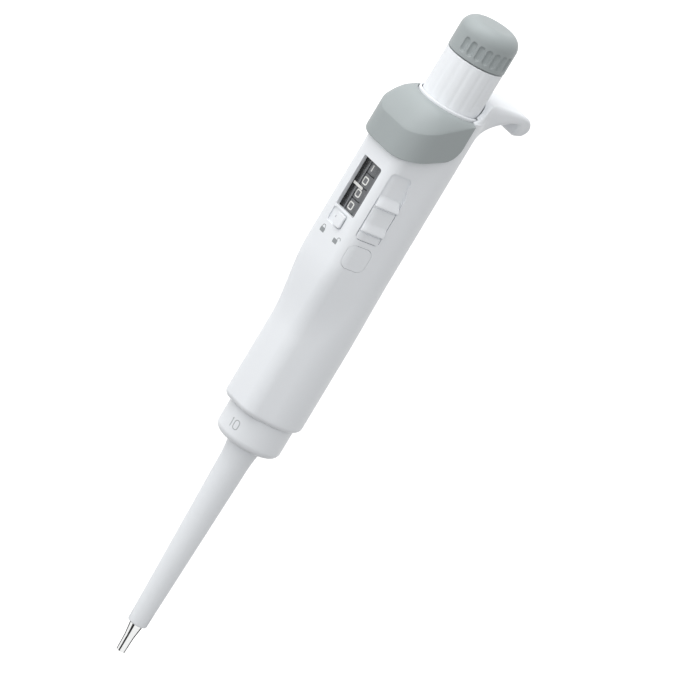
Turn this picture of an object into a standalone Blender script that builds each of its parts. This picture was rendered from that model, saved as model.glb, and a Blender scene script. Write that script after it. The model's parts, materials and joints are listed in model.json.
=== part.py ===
"""A single-channel air-displacement micropipette, 0.5 to 10 microlitres.

The origin is the middle of the nozzle's open end and +Z runs up the axis to the
button. The counter faces -Y, the finger hook points to +Y, and the adjustment
slide is on the +X flank. Lengths are in metres.
"""

import math

import bmesh
import bpy
from mathutils import Matrix, Vector

MM = 0.001
FIT = 0.3 * MM  # clearance between pieces that seat on each other
RUN = 0.12 * MM  # radial clearance of a pin or a shaft in its hole
MERGE = 1e-7
TURN = 2 * math.pi
PAST = 2.0 * MM  # how far a cutter reaches beyond what it cuts
BEYOND = 30.0 * MM  # half the width of a cutter that clears one whole side
JOIN = 0.3 * MM  # how far one form runs into the form it joins

# Nozzle cone, the steel end that a tip is pushed on to
CONE_END_R = 1.5 * MM
CONE_NECK_R = 1.65 * MM
CONE_NECK_Z = 5.5 * MM
CONE_R = 2.2 * MM
CONE_FLARE_Z = 9.8 * MM
CYLINDER_R = 3.2 * MM
CYLINDER_Z = 60.0 * MM
CONE_STEP = 2.0 * MM
AIR_R = 0.5 * MM
PISTON_R = 0.6 * MM
BORE_GAP = 0.2 * MM
CONE_TRAVEL = 3.0 * MM
FLANGE_R = 4.5 * MM
FLANGE_T = 2.0 * MM
BORE_SPARE = 1.0 * MM

# Strokes, all driven by the one button
DOSE_STROKE = 8.8 * MM
BLOWOUT_STROKE = 2.4 * MM
EJECT_STROKE = 3.8 * MM
BUTTON_TRAVEL = DOSE_STROKE + BLOWOUT_STROKE + EJECT_STROKE

# Handle: round where it is gripped, with a flat front where the counter is
HANDLE_Z = 91.5 * MM
HANDLE_TOP_Z = 208.5 * MM
GRIP_TOP_Z = 121.0 * MM
SNOUT_Z = 149.0 * MM
BLEND_STEPS = 8
WALL = 1.5 * MM
HANDLE_EDGE_R = 2.0 * MM
GRIP_SHAPE = (13.2 * MM, 3.5 * MM, 14.0 * MM, 6.0 * MM)
SNOUT_SHAPE = (12.8 * MM, 5.97 * MM, 16.3 * MM, 4.4 * MM)
BACK_STEPS = 26
CORNER_STEPS = 6
EDGE_STEPS = 4

# Ejector sleeve
SLEEVE_Z = 10.5 * MM
SLEEVE_END_R = 3.35 * MM
SLEEVE_EDGE_R = 0.6 * MM
SLEEVE_BORE_R = CONE_R + FIT
SLEEVE_TOP_R = 5.0 * MM
SLEEVE_TAPER_Z = 70.0 * MM
SLEEVE_COVE = 0.9 * MM
WIDE_BORE_Z = 54.0 * MM
RING_Z = 80.0 * MM
RING_GAP = 0.4 * MM
RING_R = GRIP_SHAPE[0] - WALL - RING_GAP
RING_EDGE_R = 2.7 * MM
RING_FLOOR = 2.0 * MM
RING_WALL = 1.5 * MM
RING_TOP_Z = 99.0 * MM
SKIRT_GAP = 0.4 * MM

# Lower body, which holds the cylinder in the handle
LOWER_Z = RING_Z + RING_FLOOR + 1.0 * MM
LOWER_FLOOR = 2.0 * MM
LOWER_BORE_R = 5.0 * MM
LOWER_TOP_Z = 106.0 * MM
LOWER_RIM_T = 3.0 * MM
LOWER_RIM_GAP = 0.4 * MM
SEAT_Z = 97.3 * MM
SEAT_T = 2.0 * MM
SEAT_HOLE_R = 2.0 * MM

# Piston and its carrier
PISTON_TIP_Z = 66.0 * MM
SHANK_R = 1.5 * MM
SHANK_Z = 107.0 * MM
SHANK_TAPER = 1.0 * MM
HEAD_R = 7.0 * MM
HEAD_Z = 136.3 * MM
HEAD_T = 2.0 * MM
CARRIER_HOLE_R = 5.2 * MM
CARRIER_R = RING_R - FIT
CARRIER_T = 2.0 * MM
CARRIER_PLAY = 0.1 * MM
LEG_WIDTH = 5.0 * MM
LEG_T = 0.9 * MM
LEG_GAP = 0.2 * MM

# Collar, the grey hood round the front of the handle's top
COLLAR_SHAPE = (13.8 * MM, 4.9 * MM, 18.3 * MM, 9.0 * MM)
COLLAR_SEAT_DEPTH = 9.0 * MM
COLLAR_SEAT_Z = HANDLE_TOP_Z - COLLAR_SEAT_DEPTH
COLLAR_STEP = 0.1 * MM
COLLAR_TOP_Z = HANDLE_TOP_Z - COLLAR_STEP
COLLAR_CREASE_DEPTH = 10.1 * MM
COLLAR_CREASE_Z = COLLAR_TOP_Z - COLLAR_CREASE_DEPTH
COLLAR_CREASE_RISE = 9.7 * MM
COLLAR_FRONT_DEPTH = 19.6 * MM
COLLAR_FRONT_Z = COLLAR_TOP_Z - COLLAR_FRONT_DEPTH
COLLAR_BACK_DEPTH = 13.3 * MM
COLLAR_BACK_Z = COLLAR_TOP_Z - COLLAR_BACK_DEPTH
COLLAR_CORNER_R = 4.5 * MM
COLLAR_END = math.radians(7.0)
COLLAR_SIDE_STEPS = 6
COLLAR_DOME_STEPS = 5
COLLAR_CUT_Y = 2.0 * MM

# Finger hook, with heights up from the handle's top. The saddle climbs from the collar's ends to the hook
SADDLE_STATIONS = ((1.5, 0.1), (4.0, 1.1), (5.5, 2.4), (7.0, 3.8), (8.5, 4.9))  # (y, height of the top)
SADDLE_LEDGE = 0.1 * MM
SADDLE_DEPTH = 5.0 * MM
HOOK_STATIONS = (  # (top's y, top's height, underside's y, underside's height, half-width)
    (10.2, 5.6, 10.7, -8.5, 8.34),
    (11.4, 5.8, 11.4, -6.1, 7.75),
    (12.6, 5.8, 12.4, -4.4, 7.35),
    (14.4, 5.8, 14.0, -2.8, 7.05),
    (17.0, 5.8, 16.5, -1.1, 7.0),
    (20.0, 5.8, 19.4, 0.6, 7.0),
    (22.4, 5.7, 22.0, 1.9, 7.0),
    (25.2, 5.5, 25.2, 1.9, 7.0),
    (28.2, 5.0, 25.9, 1.7, 6.85),
    (30.4, 3.9, 26.3, 1.1, 6.6),
    (31.8, 2.2, 26.5, 0.3, 6.3),
    (32.2, 0.4, 26.8, -0.6, 5.9),
    (31.4, -1.6, 27.3, -1.9, 5.1),
    (30.0, -2.6, 28.4, -2.7, 3.8),
)
HOOK_TOP = 5.8 * MM
HOOK_EDGE_R = 1.2 * MM
HOOK_EDGE_STEPS = 3

# Counter window
WINDOW_X = -4.4 * MM
WINDOW_W = 9.7 * MM
WINDOW_Z = 164.3 * MM
WINDOW_H = 18.2 * MM
WINDOW_CORNER_R = 0.5 * MM
LENS_T = 0.4 * MM
LENS_RECESS = 1.0 * MM

# Lock slide
LOCK_Z = 160.9 * MM
LOCK_TRACK_X = -4.4 * MM
LOCK_TRACK_W = 7.5 * MM
LOCK_TRACK_H = 5.2 * MM
LOCK_DEPTH = 0.7 * MM
LOCK_W = 3.6 * MM
LOCK_TRAVEL = 3.3 * MM
LOCK_PROUD = 0.8 * MM
LOCK_NECK_W = 1.8 * MM
LOCK_NECK_H = 0.8 * MM
LOCK_PLATE_GAP = 0.7 * MM
LOCK_PLATE_H = 1.7 * MM
LOCK_CORNER_R = 0.6 * MM
LOCK_EDGE_R = 0.25 * MM
RETAINER_T = 0.7 * MM

# Adjustment slide and tag cover on the +X flank
TRACK_SHIFT = 1.91 * MM
TRACK_W = 8.9 * MM
TRACK_UP = 10.7 * MM
TRACK_Z = SNOUT_Z + TRACK_UP
TRACK_H = 24.4 * MM
TRACK_STEP_UP = 20.0 * MM
TRACK_STEP_Z = TRACK_Z + TRACK_STEP_UP
TRACK_STEP = 1.3 * MM
TRACK_DEPTH = 0.8 * MM
TRACK_CORNER_R = 0.9 * MM
ADJUST_TRAVEL = 3.5 * MM
RIDGE_UPS = (3.3 * MM, 12.4 * MM)
RIDGE_H = 3.6 * MM
RIDGE_PROUD = 0.9 * MM
RIDGE_LEAD = 0.4 * MM
RIDGE_CREST = 0.5 * MM
PEG_W = 1.8 * MM
PEG_UP = 6.3 * MM
PEG_Z = TRACK_Z + PEG_UP
PEG_H = 6.0 * MM
PEG_PLATE_SHARE = 1.3
TAG_UP = 0.4 * MM
TAG_Z = SNOUT_Z + TAG_UP
TAG_H = 8.4 * MM
TAG_DEPTH = 0.7 * MM
TAG_CORNER_R = 2.5 * MM
TAG_PROUD = 0.05 * MM

# Counter
DRUM_Y = -8.5 * MM
DRUM_R = 6.1 * MM
DRUM_Z = 166.4 * MM
DRUM_PITCH = 4.63 * MM
DRUM_H = 4.3 * MM
DRUM_COUNT = 4
DRUM_WEB_R = 5.0 * MM
DRUM_WEB_T = 1.6 * MM
DRUM_HUB_R = 1.6 * MM
DRUM_SHAFT_R = 0.5 * MM
PINION_X = -7.7 * MM
PINION_R = 1.2 * MM
PINION_TEETH = 8
PINION_H = 3.2 * MM
PLATE_T = 1.5 * MM
FRAME_GAP = 0.5 * MM
FRAME_R = SNOUT_SHAPE[0] - WALL - FRAME_GAP
FRAME_WALL = 1.2 * MM
FRAME_WALL_Y = 2.0 * MM
FRAME_Z = 160.0 * MM
FRAME_TOP_Z = 188.0 * MM
FRAME_HOLE_R = 3.0 * MM

# Setting spindle and the gear that drives the lowest drum five times as fast
SPINDLE_R = 2.0 * MM
SPINDLE_Z = FRAME_Z
SPINDLE_TOP_Z = 206.0 * MM
ROD_R = 1.1 * MM
GEAR_TEETH = 40
GEAR_RATIO = 5
GEAR_Z = 162.0 * MM
GEAR_T = 1.5 * MM
TOOTH_UP = 0.2 * MM
TOOTH_DOWN = 0.36 * MM
TOOTH_SHARE = 0.34
NUT_R = 6.0 * MM
NUT_T = 2.9 * MM

# Button
CAP_UP = 16.7 * MM
CAP_Z = HANDLE_TOP_Z + CAP_UP
CAP_H = 12.3 * MM
CAP_TOP_Z = CAP_Z + CAP_H
CAP_R = 10.05 * MM
CAP_EDGE_R = 4.6 * MM
CAP_SOCKET = 4.0 * MM
FLUTE_R = 0.85 * MM
FLUTE_OUT = 0.3 * MM
FLUTE_UP = 1.4 * MM
FLUTE_Z = CAP_Z + FLUTE_UP
FLUTE_H = 5.2 * MM
FLUTE_COUNT = 7
FLUTE_PITCH = math.radians(16.4)
FLUTE_FIRST = math.radians(11.5)
BUTTON_R = 10.0 * MM
BUTTON_WALL = 1.5 * MM
BUTTON_SUNK = 2.0 * MM
BUTTON_Z = HANDLE_TOP_Z - BUTTON_SUNK
BUTTON_CEILING = 2.9 * MM
STOP_R = 2.6 * MM
STOP_WALL = 1.2 * MM
STOP_UP = 5.5 * MM
STOP_Z = HANDLE_TOP_Z + STOP_UP
STUD_R = 4.0 * MM
GUIDE_UP = 0.8 * MM
GUIDE_TOP_Z = HANDLE_TOP_Z + GUIDE_UP
GUIDE_H = 9.4 * MM
GUIDE_Z = GUIDE_TOP_Z - GUIDE_H
GUIDE_EDGE_R = 0.35 * MM

# Blow-out stop
PLATE_R = 6.0 * MM
BLOWOUT_T = 1.5 * MM

# Springs: coil radius, wire radius
RETURN_COIL = (4.2 * MM, 0.35 * MM)
BLOWOUT_COIL = (4.3 * MM, 0.4 * MM)
EJECTOR_COIL = (8.0 * MM, 0.4 * MM)
CONE_COIL = (3.7 * MM, 0.3 * MM)
RETURN_TURNS = 9
BLOWOUT_TURNS = 5
EJECTOR_TURNS = 5
CONE_TURNS = 4
COIL_STEPS = 9

# Piston seal
SEAL_R = 1.9 * MM
SEAL_DEPTH = 6.0 * MM
SEAL_T = 2.2 * MM
SEAL_LIP = 0.5 * MM
O_RING_WIRE = 0.45 * MM

SEGMENTS = 40
DRUM_SEGMENTS = 24
SMALL_SEGMENTS = 18
TINY_SEGMENTS = 10


def clear_scene():
    for item in list(bpy.data.objects):
        bpy.data.objects.remove(item, do_unlink=True)


def plain_material(name, colour, roughness, metallic=0.0, transmission=0.0):
    made = bpy.data.materials.new(name)
    made.use_nodes = True
    shader = made.node_tree.nodes["Principled BSDF"]
    shader.inputs["Base Color"].default_value = (*colour, 1.0)
    shader.inputs["Roughness"].default_value = roughness
    shader.inputs["Metallic"].default_value = metallic
    shader.inputs["Transmission Weight"].default_value = transmission
    return made


def empty_at(name, location, parent=None):
    """A joint's frame: its origin lies on the joint's axis."""
    made = bpy.data.objects.new(name, None)
    bpy.context.scene.collection.objects.link(made)
    made.location = location
    made.parent = parent
    return made


def piece(bm, name, finish, location=(0, 0, 0), turn_z=0.0, parent=None):
    """Turns a bmesh into an object with outward faces and smooth round sides."""
    bmesh.ops.recalc_face_normals(bm, faces=bm.faces)
    mesh = bpy.data.meshes.new(name)
    bm.to_mesh(mesh)
    bm.free()
    mesh.shade_smooth()
    mesh.set_sharp_from_angle(angle=math.radians(35))
    made = bpy.data.objects.new(name, mesh)
    bpy.context.scene.collection.objects.link(made)
    made.data.materials.append(finish)
    made.location = location
    made.rotation_euler = (0, 0, turn_z)
    made.parent = parent
    return made


def helper(bm, name, finish, location=(0, 0, 0), turn_z=0.0):
    """A shape that is only cut from, or joined to, another."""
    made = piece(bm, name, finish, location, turn_z)
    made.hide_render = True
    made.display_type = "WIRE"
    return made


def combine(target, other, operation):
    modifier = target.modifiers.new(operation.title() + " " + other.name, "BOOLEAN")
    modifier.operation = operation
    modifier.object = other
    modifier.solver = "EXACT"


def arc(centre, radius, start, end, steps):
    """Points along an arc, both ends included."""
    angles = [start + (end - start) * i / steps for i in range(steps + 1)]
    return [(centre[0] + radius * math.cos(a), centre[1] + radius * math.sin(a)) for a in angles]


def between(first, last, steps):
    """The points inside a straight run that is split into equal steps."""
    shares = [i / steps for i in range(1, steps)]
    return [tuple(a + (b - a) * s for a, b in zip(first, last)) for s in shares]


def turned(profile, segments, hollow=True):
    """Spins (radius, height) points about Z. A hollow profile is a closed outline."""
    bm = bmesh.new()
    verts = [bm.verts.new((r, 0, z)) for r, z in profile]
    edges = [bm.edges.new(pair) for pair in zip(verts, verts[1:])]
    if hollow:
        edges.append(bm.edges.new((verts[-1], verts[0])))
    bmesh.ops.spin(
        bm,
        geom=verts + edges,
        cent=(0, 0, 0),
        axis=(0, 0, 1),
        angle=TURN,
        steps=segments,
        use_merge=True,
    )
    bmesh.ops.remove_doubles(bm, verts=bm.verts, dist=MERGE)
    return bm


def tube(inner, outer, low, high, segments=SEGMENTS):
    return turned([(inner, low), (outer, low), (outer, high), (inner, high)], segments)


def rod(radius, low, high, segments=SMALL_SEGMENTS):
    return turned([(0, low), (radius, low), (radius, high), (0, high)], segments, hollow=False)


def block(low, high):
    bm = bmesh.new()
    bmesh.ops.create_cube(bm, size=1.0)
    size = Vector(high) - Vector(low)
    bmesh.ops.scale(bm, vec=size, verts=bm.verts)
    bmesh.ops.translate(bm, vec=Vector(low) + size / 2, verts=bm.verts)
    return bm


def rounded(bm, width, segments, along=None):
    """Bevels every edge, or only those that run along one axis."""
    edges = list(bm.edges)
    if along is not None:
        edges = [e for e in edges if abs((e.verts[0].co - e.verts[1].co).normalized()[along]) > 0.99]
    bmesh.ops.bevel(
        bm,
        geom=edges,
        offset=width,
        offset_type="OFFSET",
        segments=segments,
        profile=0.5,
        affect="EDGES",
        material=-1,
    )
    return bm


def prism(outline, low, high):
    """An outline in the XY plane, extruded from one height to another."""
    bm = bmesh.new()
    face = bm.faces.new([bm.verts.new((x, y, low)) for x, y in outline])
    grown = bmesh.ops.extrude_face_region(bm, geom=[face])["geom"]
    raised = [item for item in grown if isinstance(item, bmesh.types.BMVert)]
    bmesh.ops.translate(bm, vec=(0, 0, high - low), verts=raised)
    return bm


def merged(*parts):
    """Several bmeshes in one, for a cutter made of separate shapes."""
    bm = bmesh.new()
    for part in parts:
        mesh = bpy.data.meshes.new("part")
        part.to_mesh(mesh)
        part.free()
        bm.from_mesh(mesh)
        bpy.data.meshes.remove(mesh)
    return bm


def loft(rings):
    """Bridges closed rings of points in turn and closes both ends."""
    bm = bmesh.new()
    loops = []
    for ring in rings:
        verts = [bm.verts.new(point) for point in ring]
        loops.append([bm.edges.new((verts[i - 1], verts[i])) for i in range(len(verts))])
    for lower, upper in zip(loops, loops[1:]):
        bmesh.ops.bridge_loops(bm, edges=lower + upper)
    for end in (loops[0], loops[-1]):
        bmesh.ops.contextual_create(bm, geom=end)
    return bm


def smooth_share(value, low, high):
    share = min(max((value - low) / (high - low), 0.0), 1.0)
    return share * share * (3 - 2 * share)


def flank_angle(shape):
    """How far the flat flank's normal turns from +X towards the front."""
    back_r, corner_x, front, corner_r = shape
    centre = Vector((corner_x, front - corner_r))
    return math.atan2(centre.y, centre.x) - math.acos((back_r - corner_r) / centre.length)


def front_run(shape, inset, side_steps):
    """The outline from the left flank's back end, round both front corners, to the right flank's back end."""
    back_r, corner_x, front, corner_r = shape
    flank = flank_angle(shape)
    y = corner_r - front
    radius = corner_r - inset
    left = arc((-corner_x, y), radius, math.pi + flank, 1.5 * math.pi, CORNER_STEPS)
    right = arc((corner_x, y), radius, 1.5 * math.pi, TURN - flank, CORNER_STEPS)
    reach = back_r - inset
    left_back = (-reach * math.cos(flank), -reach * math.sin(flank))
    right_back = (reach * math.cos(flank), -reach * math.sin(flank))
    run = between(left_back, left[0], side_steps) + left
    run += between(left[-1], right[0], side_steps)
    return run + right + between(right[-1], right_back, side_steps)


def handle_outline(shape, inset=0.0):
    """The handle's section: a back circle and two front corners, wrapped by straight flanks."""
    flank = flank_angle(shape)
    back = arc((0, 0), shape[0] - inset, -flank, math.pi + flank, BACK_STEPS)
    return back + front_run(shape, inset, 1)


def handle_shape(z):
    """The section's own sizes at a height, from the round grip to the flat-fronted snout."""
    share = smooth_share(z, GRIP_TOP_Z, SNOUT_Z)
    return tuple(a + (b - a) * share for a, b in zip(GRIP_SHAPE, SNOUT_SHAPE))


def handle_ring(z, inset=0.0):
    return [(x, y, z) for x, y in handle_outline(handle_shape(z), inset)]


def blend_heights():
    return [GRIP_TOP_Z + (SNOUT_Z - GRIP_TOP_Z) * i / BLEND_STEPS for i in range(BLEND_STEPS + 1)]


def edge_insets(radius):
    """(distance from the end, inset) pairs down a rounded end edge, the end first."""
    angles = [0.5 * math.pi * i / EDGE_STEPS for i in range(EDGE_STEPS + 1)]
    return [(radius * (1 - math.sin(a)), radius * (1 - math.cos(a))) for a in reversed(angles)]


def hook_section(top, under, half_width):
    """A rounded rectangle between a point on the hook's back and one on its underside."""
    top = Vector((0, *top))
    under = Vector((0, *under))
    up = (top - under).normalized()
    half_height = (top - under).length / 2
    centre = (top + under) / 2
    radius = min(HOOK_EDGE_R, 0.9 * half_height)
    corners = [(1, 1, 0.0), (-1, 1, 0.5), (-1, -1, 1.0), (1, -1, 1.5)]
    ring = []
    for side, level, start in corners:
        at = (side * (half_width - radius), level * (half_height - radius))
        for x, h in arc(at, radius, start * math.pi, (start + 0.5) * math.pi, HOOK_EDGE_STEPS):
            ring.append(centre + Vector((x, 0, 0)) + up * h)
    return ring


def hook_solid():
    """The saddle inside the handle's back wall, then the hook's arm and its lip, as one loft."""
    back_r = SNOUT_SHAPE[0] - SADDLE_LEDGE
    rings = []
    for y, rise in SADDLE_STATIONS:
        half_width = math.sqrt(back_r**2 - (y * MM) ** 2)
        top = (y * MM, HANDLE_TOP_Z + rise * MM)
        rings.append(hook_section(top, (y * MM, HANDLE_TOP_Z - SADDLE_DEPTH), half_width))
    for top_y, top_rise, under_y, under_rise, half_width in HOOK_STATIONS:
        top = (top_y * MM, HANDLE_TOP_Z + top_rise * MM)
        under = (under_y * MM, HANDLE_TOP_Z + under_rise * MM)
        rings.append(hook_section(top, under, half_width * MM))
    return loft(rings)


def flank_place():
    """Where the tracks' own frame stands: its +X is out of the flank and its +Y runs to the back."""
    back_r, corner_x, front, corner_r = SNOUT_SHAPE
    flank = flank_angle(SNOUT_SHAPE)
    out = Vector((math.cos(flank), -math.sin(flank)))
    along = Vector((math.sin(flank), math.cos(flank)))
    start = Vector((corner_x, corner_r - front)) + out * corner_r
    middle = start + along * TRACK_SHIFT
    return (middle.x, middle.y, 0), -flank


def make_handle(shell, dark):
    bottom = [handle_ring(HANDLE_Z + up, inset) for up, inset in edge_insets(HANDLE_EDGE_R)]
    body = [handle_ring(z) for z in [*blend_heights(), HANDLE_TOP_Z]]
    handle = piece(loft(bottom + body), "handle_housing", shell)
    hook = helper(hook_solid(), "hook_form", shell)
    combine(handle, hook, "UNION")

    high = HANDLE_TOP_Z + HOOK_TOP + PAST
    heights = [HANDLE_Z - PAST, *blend_heights(), GUIDE_TOP_Z + FIT]
    cavity = helper(loft([handle_ring(z, WALL) for z in heights]), "cavity_cutter", dark)
    combine(handle, cavity, "DIFFERENCE")
    bore = rod(BUTTON_R + FIT, GUIDE_TOP_Z - PAST, high, SEGMENTS)
    combine(handle, helper(bore, "button_bore_cutter", dark), "DIFFERENCE")
    seat = block((-BEYOND, -BEYOND, COLLAR_SEAT_Z), (BEYOND, COLLAR_CUT_Y, high))
    combine(handle, helper(seat, "collar_seat_cutter", dark), "DIFFERENCE")

    front = -SNOUT_SHAPE[2]
    window = block((WINDOW_X, front - PAST, WINDOW_Z), (WINDOW_X + WINDOW_W, front + PAST, WINDOW_Z + WINDOW_H))
    window_cutter = helper(rounded(window, WINDOW_CORNER_R, 2, along=1), "window_cutter", dark)
    combine(handle, window_cutter, "DIFFERENCE")

    half_track = LOCK_TRACK_H / 2
    track = block(
        (LOCK_TRACK_X, front - PAST, LOCK_Z - half_track),
        (LOCK_TRACK_X + LOCK_TRACK_W, front + LOCK_DEPTH, LOCK_Z + half_track),
    )
    track_cutter = helper(rounded(track, LOCK_CORNER_R, 2, along=1), "lock_track_cutter", dark)
    combine(handle, track_cutter, "DIFFERENCE")
    low_x, high_x = lock_slot()
    half_slot = LOCK_NECK_H / 2 + RUN
    slot = block((low_x, front, LOCK_Z - half_slot), (high_x, front + PAST, LOCK_Z + half_slot))
    combine(handle, helper(slot, "lock_slot_cutter", dark), "DIFFERENCE")

    place, turn_z = flank_place()
    pocket = rounded(track_outline_prism(), TRACK_CORNER_R, 2, along=0)
    pocket = helper(pocket, "track_cutter", dark, place, turn_z)
    combine(pocket, sunk_form("track_floor_form", dark, TRACK_DEPTH), "DIFFERENCE")
    combine(handle, pocket, "DIFFERENCE")
    peg = PEG_W / 2 + FIT
    guide = block((-PAST, -peg, PEG_Z - FIT), (PAST, peg, PEG_Z + PEG_H + ADJUST_TRAVEL + FIT))
    combine(handle, helper(guide, "guide_slot_cutter", dark, place, turn_z), "DIFFERENCE")
    tag = block((-BEYOND / 2, -TRACK_W / 2, TAG_Z), (PAST, TRACK_W / 2, TAG_Z + TAG_H))
    tag_cutter = helper(rounded(tag, TAG_CORNER_R, 4, along=0), "tag_cutter", dark, place, turn_z)
    combine(tag_cutter, sunk_form("tag_floor_form", dark, TAG_DEPTH + FIT), "DIFFERENCE")
    combine(handle, tag_cutter, "DIFFERENCE")
    return handle


def sunk_form(name, finish, inset):
    """The handle's own shape, shrunk by a depth: whatever is cut down to it follows the surface."""
    return helper(loft([handle_ring(z, inset) for z in (SNOUT_Z, HANDLE_TOP_Z)]), name, finish)


def track_outline_prism():
    """The adjustment track: its upper end is narrower, with the step on the rear side."""
    half = TRACK_W / 2
    top = TRACK_Z + TRACK_H
    outline = [
        (-half, TRACK_Z),
        (half, TRACK_Z),
        (half, TRACK_STEP_Z),
        (half - TRACK_STEP, TRACK_STEP_Z + TRACK_STEP),
        (half - TRACK_STEP, top),
        (-half, top),
    ]
    bm = prism(outline, -BEYOND / 2, PAST)
    bmesh.ops.transform(bm, matrix=Matrix(((0, 0, 1, 0), (1, 0, 0, 0), (0, 1, 0, 0), (0, 0, 0, 1))), verts=bm.verts)
    return bm


def lock_middle():
    """The lock knob's middle at rest, against the track's right end."""
    return LOCK_TRACK_X + LOCK_TRACK_W - FIT - LOCK_W / 2


def lock_slot():
    """The slot's two ends in x, for the neck's whole travel."""
    reach = LOCK_NECK_W / 2 + FIT
    return lock_middle() - LOCK_TRAVEL - reach, lock_middle() + reach


def collar_section(outer, inner, rim):
    """One section of the hood: the skirt outside the handle and the roof over its top edge."""
    front = COLLAR_SHAPE[2]
    share = (outer[1] + front) / (front + COLLAR_SHAPE[0] * math.sin(COLLAR_END))
    crease = COLLAR_CREASE_Z + COLLAR_CREASE_RISE * share**0.88
    bottom = COLLAR_FRONT_Z + (COLLAR_BACK_Z - COLLAR_FRONT_Z) * share**0.95
    from_end = COLLAR_SHAPE[0] * math.sin(COLLAR_END) - outer[1]
    if from_end < COLLAR_CORNER_R:
        drop = COLLAR_CORNER_R - from_end
        bottom += COLLAR_CORNER_R - math.sqrt(max(COLLAR_CORNER_R**2 - drop**2, 0.0))
    dome = []
    for i in range(COLLAR_DOME_STEPS + 1):
        way = 1 - i / COLLAR_DOME_STEPS
        x, y = (r + (o - r) * way for o, r in zip(outer, rim))
        dome.append((x, y, crease + (COLLAR_TOP_Z - crease) * (1 - way**2.2)))
    seat = COLLAR_SEAT_Z + FIT
    return [(*outer, bottom), *dome, (*rim, seat), (*inner, seat), (*inner, bottom)]


def collar_path(shape, inset):
    flank = flank_angle(shape)
    reach = shape[0] - inset
    steps = COLLAR_SIDE_STEPS
    left = arc((0, 0), reach, math.pi - COLLAR_END, math.pi + flank, steps)
    right = arc((0, 0), reach, TURN - flank, TURN + COLLAR_END, steps)
    return left + front_run(shape, inset, steps) + right


def make_collar(finish):
    outer = collar_path(COLLAR_SHAPE, 0.0)
    inner = collar_path(SNOUT_SHAPE, -FIT)
    rim_r = guide_outer_r() + FIT
    rims = [tuple(rim_r * c for c in Vector(point).normalized()) for point in inner]
    return piece(loft([collar_section(*points) for points in zip(outer, inner, rims)]), "collar", finish)


def guide_outer_r():
    return SNOUT_SHAPE[0] - WALL - FIT


def make_guide_ring(finish):
    inner = BUTTON_R + FIT
    outer = guide_outer_r()
    edge = GUIDE_EDGE_R
    top = GUIDE_TOP_Z
    profile = [(inner, GUIDE_Z), (outer, GUIDE_Z)]
    profile += arc((outer - edge, top - edge), edge, 0, math.pi / 2, 2) + [(inner, top)]
    return piece(turned(profile, SEGMENTS), "guide_ring", finish)


def make_lens(finish):
    front = -SNOUT_SHAPE[2] + LENS_RECESS
    high_x = WINDOW_X + WINDOW_W - FIT
    lens = block((WINDOW_X + FIT, front, WINDOW_Z + FIT), (high_x, front + LENS_T, WINDOW_Z + WINDOW_H - FIT))
    return piece(rounded(lens, WINDOW_CORNER_R - FIT, 2, along=1), "display_window", finish)


def make_counter_frame(finish, helper_finish):
    """Two plates and the half-round back wall that holds them apart."""
    low = FRAME_Z
    high = FRAME_TOP_Z
    hole = FRAME_HOLE_R
    inner = FRAME_R - FRAME_WALL
    profile = [(hole, low), (FRAME_R, low), (FRAME_R, high), (hole, high)]
    profile += [(hole, high - PLATE_T), (inner, high - PLATE_T), (inner, low + PLATE_T), (hole, low + PLATE_T)]
    frame = piece(turned(profile, SEGMENTS), "counter_frame", finish)
    front = block((-BEYOND, -BEYOND, low + PLATE_T), (BEYOND, FRAME_WALL_Y, high - PLATE_T))
    combine(frame, helper(front, "frame_front_cutter", helper_finish), "DIFFERENCE")
    holes = [(0, DRUM_SHAFT_R + RUN), (PINION_X, DRUM_SHAFT_R + RUN)]
    bores = []
    for x, radius in holes:
        bm = rod(radius, low - PAST, high + PAST, TINY_SEGMENTS)
        bmesh.ops.translate(bm, vec=(x, DRUM_Y, 0), verts=bm.verts)
        bores.append(bm)
    combine(frame, helper(merged(*bores), "shaft_hole_cutter", helper_finish), "DIFFERENCE")
    return frame


def drum_middle(index):
    """Height of a drum's middle, counted from the lowest."""
    return DRUM_Z + DRUM_PITCH * index


def gear_outline(teeth, pitch_r, phase):
    """Straight-sided teeth, with the middle of a tooth at the phase angle."""
    step = TURN / teeth
    half = TOOTH_SHARE * step / 2
    points = []
    for i in range(teeth):
        middle = phase + i * step
        for offset, radius in (
            (-1.25 * half, pitch_r - TOOTH_DOWN),
            (-0.75 * half, pitch_r + TOOTH_UP),
            (0.75 * half, pitch_r + TOOTH_UP),
            (1.25 * half, pitch_r - TOOTH_DOWN),
        ):
            points.append((radius * math.cos(middle + offset), radius * math.sin(middle + offset)))
    return points


def make_drum(index, finish, helper_finish, parent):
    """A digit drum: a rim, a thin web and a hub. The lowest one carries the pinion that drives it."""
    bore = DRUM_SHAFT_R + RUN
    half = DRUM_H / 2
    web = DRUM_WEB_T - half
    profile = [(bore, -half), (DRUM_R, -half), (DRUM_R, half), (DRUM_WEB_R, half), (DRUM_WEB_R, web)]
    profile += [(DRUM_HUB_R, web), (DRUM_HUB_R, half), (bore, half)]
    names = ["drum_hundredths", "drum_tenths", "drum_units", "drum_tens"]
    drum = piece(turned(profile, DRUM_SEGMENTS), names[index], finish, (0, 0, drum_middle(index)), parent=parent)
    if index == 0:
        pitch_r = -DRUM_Y / (GEAR_RATIO + 1)
        phase = math.pi / 2 + TURN * GEAR_RATIO / GEAR_TEETH / 2
        outline = gear_outline(GEAR_TEETH // GEAR_RATIO, pitch_r, phase)
        joint = helper(prism(outline, GEAR_Z, DRUM_Z), "drum_pinion_form", helper_finish, (0, DRUM_Y, 0))
        combine(drum, joint, "UNION")
        bore_cutter = rod(bore, GEAR_Z - PAST, DRUM_Z + DRUM_H, TINY_SEGMENTS)
        combine(drum, helper(bore_cutter, "drum_bore_cutter", helper_finish, (0, DRUM_Y, 0)), "DIFFERENCE")
    return drum


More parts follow.
